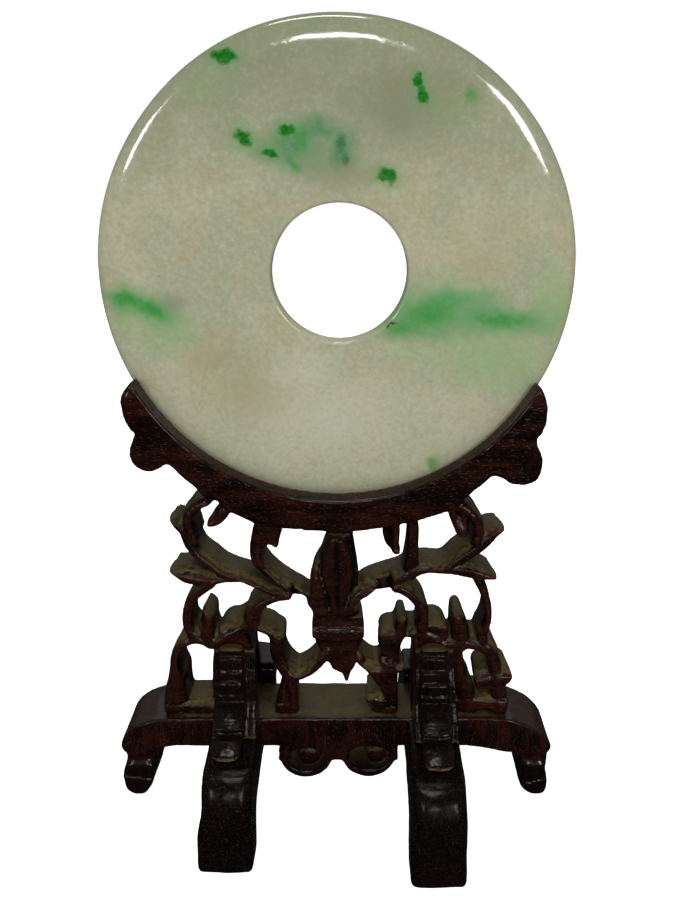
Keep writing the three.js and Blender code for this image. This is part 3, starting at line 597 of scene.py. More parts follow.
    # shoulder pieces: small carved cuts
    cuts = [
        # x, z, half width, half height, angle, depth
        (-23.6, 82.0, 1.0, 3.2, -10, 1.1), (-14.4, 35.3, 0.35, 3.6, 4, 1.2), (-17.2, 31.6, 2.6, 0.35, 8, 0.8),
        (-47.0, 31.7, 3.6, 0.4, 6, 0.7), (-47.2, 28.9, 3.8, 0.4, 3, 0.7), (-38.0, 33.2, 1.7, 2.6, 0, 1.6),
        (-39.8, 60.2, 1.4, 3.0, 0, 2.2), (-31.8, 61.0, 3.0, 3.2, 0, 1.8), (36.2, 92.6, 0.7, 2.2, -12, 1.1),
        (50.0, 33.0, 3.4, 0.45, 4, 0.8), (9.9, 45.4, 1.3, 1.3, 0, 1.8), (15.8, 47.0, 1.3, 1.0, 0, 1.5),
        (14.0, 34.9, 1.3, 1.7, 20, 1.6), (17.6, 30.6, 2.4, 0.4, 0, 0.7), (22.0, 56.0, 1.0, 1.8, 0, 1.4),
        (40.4, 45.0, 0.8, 4.0, 8, 0.9), (-41.6, 83.6, 0.5, 3.2, 30, 0.9), (39.3, 80.0, 0.4, 3.4, -55, 0.9),
    ]
    for cx, cz, hw, hh, ang, dep in cuts:
        ca, sa = math.cos(math.radians(ang)), math.sin(math.radians(ang))
        px, pz = (x - cx) * ca + (z - cz) * sa, -(x - cx) * sa + (z - cz) * ca
        q = (px / hw) ** 2 + (pz / hh) ** 2
        depth = depth + dep * np.exp(-q * 0.9)
    # the cradle: flat polished front, worn lips, small hand-cut cusps on its lower edge
    rx, rz = x - DISC[0], z - DISC[2]
    rad = np.hypot(rx, rz)
    deg = np.degrees(np.arctan2(rz, rx))
    crescent = polygon_distance(cradle_outline(), x, z)
    edge_noise = wobble((x, z), waves(rng, 10, 5.0, 2))
    crescent = crescent + 0.12 * edge_noise + 0.5 * bell(deg, -98.7, 0.55) + 0.35 * bell(deg, -103.5, 0.6) \
        + 0.25 * bell(deg, -78, 1.2)
    cres_depth = -0.92 + 0.0 * crescent
    mid = (rad - (CRADLE_IN_R + CRADLE_OUT_R) / 2 - 0.6) / 5.5
    cres_depth = cres_depth + 0.28 * mid * mid + 0.9 * np.exp(np.minimum(crescent, 0) / 0.9)
    # chamfer low on the left, and chips at the right notch
    under = step(-131, -126, deg) * step(-112, -118, deg) * step(70.6, 72.4, rad)
    cres_depth = cres_depth + 1.6 * under * (0.6 + 0.4 * edge_noise)
    for cdeg, crad, cw, cd in ((-39.5, 72.4, 1.5, 2.4), (-36.8, 71.6, 1.1, 1.8), (-142.6, 71.9, 0.8, 1.4), (-52.6, 71.8, 0.9, 1.3)):
        px, pz = polar(crad, cdeg)
        cres_depth = cres_depth + cd * np.exp(-((x - px) ** 2 + (z - pz) ** 2) / cw ** 2)
    # join the two: the openwork springs from beneath the cradle's front edge
    open_shape = shape.copy()
    shape = smooth_min(shape, crescent, 0.9)
    in_cres = crescent < 0.25
    depth = np.where(in_cres, cres_depth, depth)
    small = waves(rng, 14, 2.6, 2)
    broad = waves(rng, 12, 9.0, 2)
    depth = np.where(in_cres, depth, depth * 1.22)
    front = -8.0 + depth + 0.10 * wobble((x, z), broad) + 0.055 * wobble((x, z), small)
    shape = shape + 0.10 * wobble((x, z), waves(rng, 12, 4.5, 2)) * step(-0.6, 0.4, shape)
    # soften the front by hand wear
    k = np.exp(-0.5 * (np.arange(-3, 4) * h / 0.27) ** 2)
    k /= k.sum()
    pad = np.pad(front, 3, mode="edge")
    front = sum(k[i] * pad[i : i + front.shape[0], 3:-3] for i in range(7))
    pad = np.pad(front, ((0, 0), (3, 3)), mode="edge")
    front = sum(k[i] * pad[:, i : i + front.shape[1]] for i in range(7))
    front = np.clip(front, -8.98, -4.4)
    # how far each point lies below its neighbours, for the painted shade in the knife cuts and the painted highlight
    # beside them
    wide = np.exp(-0.5 * (np.arange(-5, 6) * h / 1.15) ** 2)
    wide /= wide.sum()
    inside = (shape < 0.3).astype(float)
    top_, low_ = front * inside, inside.copy()
    for axis in (0, 1):
        top_ = np.apply_along_axis(lambda v: np.convolve(v, wide, "same"), axis, top_)
        low_ = np.apply_along_axis(lambda v: np.convolve(v, wide, "same"), axis, low_)
    cut_in = front - top_ / np.maximum(low_, 1e-3)
    back = np.where(in_cres, 8.9, 7.9) - 0.25 * np.exp(np.minimum(shape, 0) / 0.8) + 0.06 * wobble((x, z), broad)
    radius = np.where(crescent < 1.0, 0.75 + 1.1 * np.maximum(bell(deg, -137.3, 4.5), bell(deg, -46.5, 4.5)) * step(72.5, 75, rad), 0.5)
    F = np.empty((len(xs), len(ys), len(zs)), np.float32)
    # upper sides of the ribbons are cut sloping down towards the back; under sides are square
    lean = np.clip(np.gradient(shape, h, axis=1), 0, 1) * step(0.0, 2.5, crescent) * step(-3.2, -0.8, shape)
    flare = np.clip(np.abs(np.gradient(shape, h, axis=0)), 0, 1) * step(0.0, 2.5, crescent) * step(-3.2, -0.8, shape)
    for j, y in enumerate(ys):
        wall = shape + 0.09 * math.sin(0.9 * y + 1.0) * wobble((x, z), broad)
        wall = wall - (0.85 * lean + 0.25 * flare) * step(6.0, -8.0, y)
        # the sides draw in slightly towards the back, as sawn work does
        wall = wall + 0.03 * max(y, 0)
        f = round_max(wall, front - y, radius)
        f = round_max(f, y - back, 0.5)
        lip = CRADLE_IN_R + 1.15 * step(4.1, 9.2, abs(y)) - rad
        f = np.where(rad < 66, round_max(f, lip, 0.45), f)
        groove = max(4.1 - abs(y), -9)
        cut = np.minimum(4.1 - abs(y), 65.45 - rad)
        f = np.where(rad < 70, smooth_max(f, cut, 0.3), f)
        f = np.maximum(f, 28.06 - z)
        F[:, j, :] = f

    def depth_at(p):
        i = np.clip(np.searchsorted(xs, p[:, 0]) - 1, 0, len(xs) - 1)
        k2 = np.clip(np.searchsorted(zs, p[:, 2]) - 1, 0, len(zs) - 1)
        return np.clip(p[:, 1] - np.where(shape[i, k2] > -1.2, -8.6, front[i, k2]), 0, 18)

    def crease_at(p):
        i = np.clip(np.rint((p[:, 0] - xs[0]) / h).astype(int), 0, len(xs) - 1)
        k2 = np.clip(np.rint((p[:, 2] - zs[0]) / h).astype(int), 0, len(zs) - 1)
        return np.where(p[:, 1] < front[i, k2] + 0.8, cut_in[i, k2], 0.0)

    ob = carve("carved_panel", F, (xs, ys, zs), material, "cradle_panel", depth_at, cavity=1.3, cuts=crease_at)
    return ob


# ------------------------------------------------------------------------------------------------ beam
END_LEFT = [
    (47, 28), (50.8, 27.95), (55.4, 27.4), (59.1, 26.4), (61.8, 25.1), (63.9, 23.3), (65.5, 21.0), (66.4, 18.7),
    (66.7, 16.4), (66.3, 14.2), (65.7, 12.0), (66.2, 9.6), (66.9, 7.2), (66.8, 4.2), (66.0, 1.7), (64.4, 0.3),
    (62.5, 0), (60.4, 0.2), (58.7, 2.2), (57.5, 4.8), (56.7, 7.5), (56.2, 10.0), (56.5, 12.6), (55.8, 15.4),
    (54.4, 16.9), (52.3, 17.9), (49.8, 18.35), (45.0, 18.4),
]
END_RIGHT = [
    (47, 28), (51.4, 27.8), (55.6, 26.7), (59.0, 25.2), (61.9, 23.2), (64.2, 21.0), (65.7, 18.9), (66.4, 16.8),
    (66.4, 14.8), (65.7, 12.4), (65.0, 9.6), (65.5, 7.0), (65.9, 4.4), (65.8, 2.0), (64.9, 0.4), (63.2, 0),
    (60.8, 0.2), (58.2, 2.3), (57.1, 4.8), (57.5, 7.2), (57.8, 9.4), (56.9, 11.8), (54.9, 14.0), (52.3, 15.6),
    (48.6, 17.0), (44.8, 17.9), (40.5, 18.4),
]


def make_beam(material):
    rng = np.random.default_rng(19)
    h = 0.5
    xs = np.arange(-68.4, 68.6, h)
    zs = np.arange(-1.2, 29.4, h)
    ys = spaced([(-11.4, -6.0, 0.5), (-6.0, 6.0, 1.2), (6.0, 11.4, 0.7)])
    x, z = xs[:, None], zs[None, :]
    outline = np.concatenate([
        catmull([(-a, b) for a, b in END_LEFT], 4)[::-1],
        catmull(END_RIGHT, 4),
    ])
    bar = polygon_distance(outline, x, z)
    bar = bar + 0.10 * wobble((x, z), waves(rng, 12, 7.0, 2))
    lobes = np.minimum(np.hypot(x + 9.2, z - 15.0) - 8.1, np.hypot(x - 10.2, z - 15.4) - 8.3)
    web = np.maximum(np.abs(x - 0.8) - 18.4, np.maximum(z - 20, 13.2 - z))
    apron = smooth_min(lobes, web, 1.2)
    apron = np.maximum(apron, z - 22)
    # a broken bit out of the apron's left shoulder
    bite = np.minimum(np.hypot(x + 17.6, z - 17.4) - 0.9, np.hypot(x + 17.9, z - 14.9) - 0.8)
    apron = smooth_max(apron, -bite, 0.3)
    fine = waves(rng, 14, 3.0, 3)
    broad = waves(rng, 10, 12.0, 3)
    side = np.abs(x)
    foot = step(50.0, 56.0, side)
    # edges: crisp along the top arris, heavily rounded round the foot's bulge
    radius = 0.55 + foot * (3.1 * bell(z, 14.2, 3.2) + 0.5 * bell(z, 5.0, 4.0)) + 0.4 * foot * step(26, 20, z)
    neck = foot * 1.35 * bell(z, 13.3, 1.9)
    toe = foot * (0.35 * step(11.5, 9.0, z))
    slope = 0.055 * np.maximum(0, 8 - z) * foot
    line_l = 7.6 - 0.16 * (side - 56.5) * -1
    groove_l = foot * 0.75 * bell(z, 7.35 - 0.13 * (66 - side) + 0.0, 0.42) * (x < 0)
    groove_r = foot * 0.75 * bell(z, 5.0 + 0.30 * (side - 60.5), 0.42) * (x > 0)
    F = np.empty((len(xs), len(ys), len(zs)), np.float32)
    scroll = [(-8.9, 13.3, 6.3, 4.3, 0.6, -0.9), (10.2, 13.9, 6.9, 4.4, 2.9, -1.2)]
    for j, y in enumerate(ys):
        uneven = 0.07 * wobble((x, np.float64(y), z), fine) + 0.12 * wobble((x, np.float64(y), z), broad)
        front = -10.5 + neck + toe + slope + groove_l + groove_r + 0.05 * np.abs(wobble((x, z), waves(np.random.default_rng(5), 8, 6, 2)))
        back = 10.5 - neck * 0.8 - toe - slope
        f = round_max(bar + uneven, front - y, radius)
        f = round_max(f, y - back, radius)
        # apron with its two hollow scrolls
        a = round_max(apron + uneven, -10.3 - y, 0.7)
        a = round_max(a, y - 4.4, 0.8)
        f = smooth_min(f, a, 0.5)
        for cx, cz, rx, rz, bx, bz in scroll:
            q = np.hypot((x - cx) / rx, (z - cz) / rz)
            hole = (q - 1) * min(rx, rz)
            floor = y + 10.5 - 8.6
            cut = round_max(hole + 0.12 * (y + 10.5), floor, 1.2)
            # a rolled leaf lies inside each hollow
            roll = np.hypot((x - cx - bx) * 0.9, z - cz - bz) - 2.6 - 0.12 * (y + 10.5)
            roll = np.maximum(roll, -10.5 + 2.6 + 0.28 * ((x - cx - bx) ** 2 + (z - cz - bz) ** 2) * 0.35 - y)
            f = smooth_max(f, -cut, 0.45)
            f = smooth_min(f, np.maximum(roll, y + 1.5), 0.35)
        F[:, j, :] = f

    def depth_at(p):
        return np.clip(p[:, 1] + 10.5, 0, 21)

    return carve("foot_beam", F, (xs, ys, zs), material, "cross_beam", depth_at, cavity=1.5)


# ------------------------------------------------------------------------------------------------ runners
RUNNERS = {
    "left_runner": {"x0": -36.8, "x1": -22.7, "spread": 1.5, "front": -44.1, "back": 46.6},
    "right_runner": {"x0": 21.9, "x1": 36.6, "spread": 0.8, "front": -49.6, "back": 41.6},
}


def make_runner(name, material):
    p = RUNNERS[name]
    rng = np.random.default_rng(23 if name == "left_runner" else 29)
    h = 0.5
    lo, hi = local_box(name)
    xs = np.arange(lo[0] - 1.2, hi[0] + 1.4, h)
    ys = np.arange(lo[1] - 1.2, hi[1] + 1.4, h * 1.15)
    zs = np.arange(-1.2, 29.4, h)

    def end(y, d):
        return [
            (y - d * 13.5, 28.0), (y - d * 10.6, 27.9), (y - d * 7.4, 27.1), (y - d * 4.4, 25.0), (y - d * 2.2, 21.6),
            (y - d * 0.9, 17.0), (y - d * 0.35, 10), (y, 3.2), (y - d * 0.25, 0.9), (y - d * 1.3, 0.0), (y - d * 6.5, 0.0),
            (y - d * 11.6, 0.05), (y - d * 12.8, 1.4), (y - d * 13.6, 4.0), (y - d * 16.0, 7.6), (y - d * 20.5, 10.2), (y - d * 27.0, 11.4),
        ]

    outline = np.concatenate([catmull(end(p["front"], -1), 4), catmull(end(p["back"], 1), 4)[::-1]])
    y2, z2 = ys[:, None], zs[None, :]
    side = polygon_distance(outline, y2, z2)[None, :, :]
    x, y, z = xs[:, None, None], ys[None, :, None], zs[None, None, :]
    spread = p["spread"] * step(20, 9, z)
    near_end = np.maximum(step(p["front"] + 12, p["front"], y), step(p["back"] - 12, p["back"], y))
    left = p["x0"] - spread
    right = p["x1"] + 0 * y
    # the waist of each side is drawn in a little between the ends, and the ends are softly crowned
    mid = (left + right) / 2
    half = (right - left) / 2 - 0.30 * bell(z, 12, 5) * (1 - near_end)
    across = np.abs(x - mid) - half
    edge = 1.0 + 2.6 * near_end * step(16, 25, z) + 0.6 * near_end
    crown = near_end * 1.6 * ((x - mid) / half) ** 2 * step(-1, 8, z)
    f = round_max(side + crown + 0 * x, across + 0 * z, edge)
    f = f + 0.10 * wobble((x, y, z), waves(rng, 12, 9.0, 3)) + 0.035 * wobble((x, y, z), waves(rng, 12, 2.5, 3))
    notch = np.maximum(np.abs(y) - 10.85, 18.1 - z)
    f = np.maximum(f, -notch)
    f = np.maximum(f, -z + 0.0)

    def depth_at(q):
        return np.clip(q[:, 1] - p["front"], 0, 95)

    return carve(name + "_rail", f.astype(np.float32), (xs, ys, zs), material, name, depth_at, cavity=1.8)


# ------------------------------------------------------------------------------------------------ brackets
# carved profile of a bracket as (distance out from the board, height), from its top down
PROFILE = [
    (0.0, 52.9), (2.6, 52.9), (3.45, 52.2), (3.3, 51.2), (2.5, 50.7), (2.6, 50.0), (3.6, 49.7), (3.85, 48.6), (3.7, 46.2),
    (4.4, 45.2), (7.2, 44.5), (8.0, 43.3), (7.9, 41.2), (7.0, 40.2), (7.6, 39.0), (7.3, 37.6), (9.6, 37.2), (13.6, 35.9),
    (16.2, 34.2), (16.6, 33.0), (15.0, 32.2), (15.6, 31.5), (18.4, 31.9), (21.2, 31.0), (23.2, 29.6), (24.1, 28.3), (0.0, 28.3),
]
BODY = [(0.0, 51.4), (1.5, 51.3), (2.6, 46.0), (4.6, 41.0), (6.0, 36.2), (10.0, 33.4), (13.3, 28.3), (0.0, 28.3)]
BRACKETS = {
    "bracket_front_left": {"body": (-36.5, -22.9), "core": (-35.0, -26.4), "run": 1.0, "side": -1, "drop": 0},
    "bracket_front_right": {"body": (23.4, 36.5), "core": (25.2, 34.2), "run": 1.18, "side": -1, "drop": 0},
    "bracket_rear_left": {"body": (-36.5, -24.0), "core": (-34.6, -26.0), "run": 0.95, "side": 1, "drop": 2,
                          "plinth": (-37.4, -19.8, 36.4, 14)},
    "bracket_rear_right": {"body": (23.4, 35.6), "core": (25.2, 33.8), "run": 0.95, "side": 1, "drop": 2,
                           "plinth": (21.8, 36.6, 34.2, 14)},
}


def make_bracket(name, material):
    p = BRACKETS[name]
    rng = np.random.default_rng(sum(map(ord, name)))
    h = 0.33
    lo, hi = local_box(name)
    pad = 1.0
    xs = np.arange(lo[0] - pad, hi[0] + pad + h, h)
    ys = np.arange(lo[1] - pad, hi[1] + pad + h, h)
    zs = np.arange(lo[2] - pad, hi[2] + pad + h, h)
    y0, base = 8.35, 28.35
    squash = 1 - p["drop"] / (52.9 - base)
    place = lambda pts: np.array([(p["side"] * (y0 + d * p["run"]), base + (zz - base) * squash) for d, zz in pts])
    y2, z2 = ys[:, None], zs[None, :]
    core = polygon_distance(place(PROFILE), y2, z2)[None, :, :]
    body = polygon_distance(place(BODY), y2, z2)[None, :, :]
    x, y, z = xs[:, None, None], ys[None, :, None], zs[None, None, :]
    out = p["side"] * y - y0
    cx0, cx1 = p["core"]
    mid, half = (cx0 + cx1) / 2, (cx1 - cx0) / 2
    # the steps narrow upwards and their noses are rounded in plan
    taper = 0.9 * step(36, 50, z) + 0.35 * np.sin((z - base) * 1.1) ** 2
    nose = 0.8 * ((x - mid) / half) ** 2
    f1 = round_max(core + nose + 0 * x, np.abs(x - mid) - (half - taper * 0.6) + 0 * y, 0.6)
    # small cut marks across the noses of the middle steps
    f1 = f1 + 0.25 * bell(z, 41.6, 0.35) * step(6.2, 7.4, out) + 0.2 * bell(z, 35.0, 0.3) * step(11, 14, out)
    bx0, bx1 = p["body"]
    bm, bh = (bx0 + bx1) / 2, (bx1 - bx0) / 2
    f2 = round_max(body + 0 * x, np.abs(x - bm) - (bh - 0.12 - 0.5 * step(30, 48, z)) + 0 * y, 0.5)
    # two hollows run up the body on either side of the steps
    f2 = f2 + 0.55 * (bell(np.abs(x - mid), half + 0.9, 0.7)) * step(-0.8, 0.2, f2)
    f = smooth_min(f1, f2, 0.4)
    if "plinth" in p:
        px0, px1, pz, length = p["plinth"]
        block = round_max(np.abs(x - (px0 + px1) / 2) - (px1 - px0) / 2 + 0 * y, z - pz + 0 * y, 0.7)
        block = round_max(block, out - length + 0 * z, 0.9)
        block = np.maximum(block, -out)
        line = 0.45 * bell(z, pz - 2.2, 0.35)
        f = smooth_min(f, block + line, 0.5)
    f = f + 0.07 * wobble((x, y, z), waves(rng, 12, 4.0, 3)) + 0.035 * wobble((x, y, z), waves(rng, 12, 1.4, 3))
    f = np.maximum(f, -out)
    f = np.maximum(f, 28.36 - z)

    def depth_at(q):
        return np.clip(24.0 - (p["side"] * q[:, 1] - y0), 0, 24)

    return carve(name + "_carved", f.astype(np.float32), (xs, ys, zs), material, name, depth_at, cavity=0.9)


# ------------------------------------------------------------------------------------------------ materials
class Nodes:
    """Short names for building a node material."""

    def __init__(self, name):
        self.mat = bpy.data.materials.new(name)
        self.mat.use_nodes = True
        self.tree = self.mat.node_tree
        self.tree.nodes.clear()
        self.out = self.tree.nodes.new("ShaderNodeOutputMaterial")
        self.shader = self.tree.nodes.new("ShaderNodeBsdfPrincipled")
        self.tree.links.new(self.shader.outputs[0], self.out.inputs["Surface"])
        coord = self.tree.nodes.new("ShaderNodeTexCoord")
        scale = self.tree.nodes.new("ShaderNodeMapping")
        scale.inputs["Scale"].default_value = (1000, 1000, 1000)
        self.tree.links.new(coord.outputs["Object"], scale.inputs["Vector"])
        self.mm = scale.outputs[0]  # the row frame in millimetres
        geo = self.tree.nodes.new("ShaderNodeNewGeometry")
        sep = self.tree.nodes.new("ShaderNodeSeparateXYZ")
        self.tree.links.new(geo.outputs["Normal"], sep.inputs[0])
        self.normal = sep.outputs

    def put(self, socket, value):
        if hasattr(value, "is_output"):
            self.tree.links.new(value, socket)
        elif isinstance(value, (tuple, list)) and len(value) == 3 and socket.type == "RGBA":
            socket.default_value = (*value, 1.0)
        else:
            socket.default_value = value

    def math(self, op, a, b=0.0, clamp=False):
        n = self.tree.nodes.new("ShaderNodeMath")
        n.operation, n.use_clamp = op, clamp
        self.put(n.inputs[0], a)
        self.put(n.inputs[1], b)
        return n.outputs[0]

    def mul(self, a, b, clamp=False):
        return self.math("MULTIPLY", a, b, clamp)

    def add(self, a, b, clamp=False):
        return self.math("ADD", a, b, clamp)

    def ramp(self, value, lo, hi, a=0.0, b=1.0, smooth=True):
        n = self.tree.nodes.new("ShaderNodeMapRange")
        n.interpolation_type = "SMOOTHSTEP" if smooth else "LINEAR"
        self.put(n.inputs["Value"], value)
        for key, v in (("From Min", lo), ("From Max", hi), ("To Min", a), ("To Max", b)):
            self.put(n.inputs[key], v)
        return n.outputs[0]

    def mix(self, factor, a, b):
        n = self.tree.nodes.new("ShaderNodeMix")
        n.data_type = "RGBA"
        self.put(n.inputs["Factor"], factor)
        self.put(n.inputs[6], a)
        self.put(n.inputs[7], b)
        return n.outputs[2]

    def map(self, vector, loc=(0, 0, 0), rot=(0, 0, 0), scale=(1, 1, 1), kind="POINT"):
        n = self.tree.nodes.new("ShaderNodeMapping")
        n.vector_type = kind
        self.put(n.inputs["Vector"], vector)
        n.inputs["Location"].default_value = loc
        n.inputs["Rotation"].default_value = rot
        n.inputs["Scale"].default_value = scale
        return n.outputs[0]

    def noise(self, vector, scale, detail=3.0, rough=0.55, distort=0.0, colour=False):
        n = self.tree.nodes.new("ShaderNodeTexNoise")
        self.put(n.inputs["Vector"], vector)
        n.inputs["Scale"].default_value = scale
        n.inputs["Detail"].default_value = detail
        n.inputs["Roughness"].default_value = rough
        n.inputs["Distortion"].default_value = distort
        return n.outputs["Color" if colour else 0]

    def cells(self, vector, scale, feature="F1"):
        n = self.tree.nodes.new("ShaderNodeTexVoronoi")
        n.feature = feature
        self.put(n.inputs["Vector"], vector)
        n.inputs["Scale"].default_value = scale
        return n.outputs["Distance"]

    def vec(self, op, a, b=None):
        n = self.tree.nodes.new("ShaderNodeVectorMath")
        n.operation = op
        self.put(n.inputs[0], a)
        if b is not None:
            self.put(n.inputs[1], b)
        return n.outputs["Value" if op == "LENGTH" else 0]

    def attribute(self, name):
        n = self.tree.nodes.new("ShaderNodeAttribute")
        n.attribute_name = name
        return n.outputs["Fac"]

    def bump(self, height, strength, distance):
        n = self.tree.nodes.new("ShaderNodeBump")
        n.inputs["Strength"].default_value = strength
        n.inputs["Distance"].default_value = distance
        self.put(n.inputs["Height"], height)
        self.put(self.shader.inputs["Normal"], n.outputs[0])
        return n


def srgb(r, g, b):
    f = lambda c: (c / 12.92) if c <= 0.04045 else ((c + 0.055) / 1.055) ** 2.4
    return tuple(f(c / 255.0) for c in (r, g, b))


JADE_GAIN = 1.0


def gain(colour, k):
    return tuple(min(c * k, 0.95) for c in colour)


def jade_material():
    m = Nodes("jade")
    c = disc_lo / 2 + disc_hi / 2
    p = m.map(m.mm, loc=tuple(-c))
    sep = m.tree.nodes.new("ShaderNodeSeparateXYZ")
    m.put(sep.inputs[0], p)
    up = sep.outputs[2]
    # drifting clouds of warm and cool stone
    warp = m.noise(p, 0.05, 2.0, 0.5, colour=True)
    shifted = m.vec("ADD", p, m.map(warp, loc=(-7, -7, -7), scale=(14, 14, 14)))
    cloud = m.noise(shifted, 0.045, 4.0, 0.6)
    cloud2 = m.noise(m.map(shifted, loc=(31, 5, 12)), 0.09, 4.0, 0.6)
    fine = m.noise(p, 0.75, 6.0, 0.72)
    grain = m.noise(p, 2.6, 3.0, 0.7)
    base = m.mix(m.ramp(cloud, 0.42, 0.60), J["cool"], J["pale"])
    base = m.mix(m.ramp(cloud2, 0.46, 0.66, 0, 0.8), base, J["warm"])
    # darker and greener towards the top; paler towards the bottom, which is painted bounce light from below
    dull = m.ramp(m.add(up, m.mul(cloud2, 26.0)), 26.0, 72.0)
    base = m.mix(m.mul(dull, 0.72), base, J["dull"])
    low = m.ramp(m.add(up, m.mul(cloud, 30.0)), 4.0, -40.0)
    base = m.mix(m.mul(low, 0.45), base, J["light"])
    # granular mottling, like packed crystals
    base = m.mix(m.mul(m.ramp(fine, 0.44, 0.76, 0, 0.42), m.ramp(dull, 0.0, 1.0, 1.0, 0.55, smooth=False)), base, J["crystal"])
    base = m.mix(m.ramp(fine, 0.50, 0.30, 0, 0.42), base, J["earth"])
    base = m.mix(m.ramp(grain, 0.60, 0.80, 0, 0.08), base, J["white"])
    # ragged edges for the colour spots
    rag = m.noise(p, 0.28, 3.0, 0.55, colour=True)
    q = m.vec("ADD", p, m.map(rag, loc=(-2.0, -2.0, -2.0), scale=(4.0, 4.0, 4.0)))
    rag2 = m.noise(m.map(p, loc=(9, 3, 4)), 0.12, 4.0, 0.6, colour=True)
    q2 = m.vec("ADD", p, m.map(rag2, loc=(-5, -5, -5), scale=(10, 10, 10)))

    def spot(x, z, a, b, angle, inner=0.35, loose=False, outer=1.0):
        n = m.map(q2 if loose else q, loc=(x, 0, z), rot=(0, -math.radians(angle), 0), scale=(a, 60, b), kind="TEXTURE")
        return m.ramp(m.vec("LENGTH", n), outer, inner)

    def over(base, colour, strength, *spots, **kw):
        f = 0.0
        for s in spots:
            v = spot(*s, **kw)
            f = v if isinstance(f, float) else m.math("MAXIMUM", f, v)
        speck = m.ramp(fine, 0.30, 0.62, 0.72, 1.0)
        return m.mix(m.mul(m.mul(f, speck), strength), base, colour)

    # broad clouds: brown low on the left, darker moss above right, white below the hole
    base = over(base, J["tan"], 0.52, (-23.0, -34.0, 22.0, 15.0, -20), (-34.0, -22.0, 12.0, 9.0, 30), inner=0.0, loose=True)
    base = over(base, J["moss"], 0.55, (17.0, 41.0, 24.0, 15.0, 0), (2.0, 26.0, 16.0, 9.0, 0), inner=0.0, loose=True)
    base = over(base, J["tan"], 0.20, (38.0, 4.0, 20.0, 14.0, 10), inner=0.0, loose=True)
    base = over(base, J["crystal"], 0.50, (-4.0, -40.0, 34.0, 18.0, 6), (-9.0, -27.0, 17.0, 11.0, 0), inner=0.0, loose=True)
    # wide hazes
    base = over(base, J["haze"], 0.62, (42.0, -23.5, 26.0, 14.0, -8), (59.0, -9.0, 10.0, 16.0, 0), inner=0.0, loose=True)
    base = over(base, J["haze"], 0.55, (-47.0, -14.0, 16.0, 12.0, -25), (-58.0, -10.0, 7.0, 12.0, 0), inner=0.0, loose=True)
    base = over(base, J["bluish"], 0.90, (-11.5, 32.4, 15.0, 9.5, 0), (1.4, 32.0, 6.5, 8.0, 0), (-4.0, 36.5, 12.0, 5.5, 0), inner=0.0, loose=True)
    base = over(base, J["haze"], 0.20, (31.6, 41.1, 12.0, 8.0, 0), (-33.8, 46.7, 10.0, 7.0, 0), (-20.0, 34.0, 9.0, 5.0, 0), inner=0.0, loose=True)
    base = over(base, J["haze"], 0.30, (18.0, -22.0, 9.0, 6.0, 0), (27.5, -51.0, 5.0, 6.0, 0), (-18.9, 59.6, 3.2, 2.6, 0), inner=0.0, loose=True)
    # the long streaks
    base = over(base, J["streak"], 0.96, (-53.0, -7.8, 15.5, 6.2, -20), (-57.0, -6.6, 10.0, 6.2, -10), inner=0.08)
    base = over(base, J["green"], 0.85, (-57.0, -6.0, 7.5, 2.8, -12), (-50.5, -8.9, 7.5, 3.2, -28), inner=0.1)
    base = over(base, J["smoke"], 0.48, (-44.0, -6.9, 6.5, 4.8, -10), inner=0.0)
    base = over(base, J["streak"], 0.50, (27.0, -8.0, 26.0, 12.0, 2), inner=0.0, loose=True)
    base = over(base, J["streak"], 0.92, (25.0, -11.8, 21.0, 9.8, 4), (44.0, -12.9, 23.0, 7.0, -3), (31.0, -8.6, 21.0, 6.8, 0), inner=0.15, loose=True)
    base = over(base, J["green"], 0.66, (18.0, -15.4, 10.0, 4.6, 8), (25.0, -11.0, 10.0, 5.5, 6), (46.0, -13.0, 13.0, 2.6, -3), inner=0.0)
    # small emerald spots, each with a soft halo
    emerald = [
        (-27.0, 54.4, 4.0, 2.3, -10), (21.7, 48.2, 2.2, 1.9, -70), (22.7, 44.8, 3.0, 2.0, -70), (-23.2, 35.0, 3.1, 2.4, -35),
        (-11.9, 36.6, 3.1, 1.7, 5), (-16.9, 31.0, 3.0, 1.5, -10), (13.6, 25.2, 3.3, 2.6, -20),
    ]
    halo = [(x, z, a * 1.9 + 0.6, b * 1.9 + 0.6, g) for x, z, a, b, g in emerald]
    base = over(base, J["streak"], 0.55, *halo, inner=0.10)
    base = over(base, J["emerald"], 1.0, *emerald, inner=0.50)
    base = over(base, J["green"], 0.72, (35.2, 44.4, 2.9, 3.2, 0), (26.9, -54.2, 2.8, 3.4, 0), (-8.4, 34.0, 3.0, 4.4, 0), (-10.3, 27.8, 3.6, 2.0, -30), inner=0.15)
    base = over(base, J["deepblue"], 0.75, (1.8, 33.4, 1.8, 3.6, -6), (3.0, 29.8, 1.5, 2.8, 10), inner=0.1)
    base = over(base, J["brown"], 0.85, (15.4, -13.5, 2.6, 1.0, 18), (14.0, -14.6, 1.1, 0.8, 0), inner=0.2)
    tiny = m.cells(m.map(p, loc=(3, 1, 7)), 0.085)
    base = m.mix(m.ramp(tiny, 0.035, 0.012, 0, 0.55), base, J["fleck"])
    sh = m.shader
    m.put(sh.inputs["Base Color"], base)
    rough = m.ramp(m.noise(p, 0.35, 4.0, 0.6), 0.3, 0.7, 0.085, 0.15)
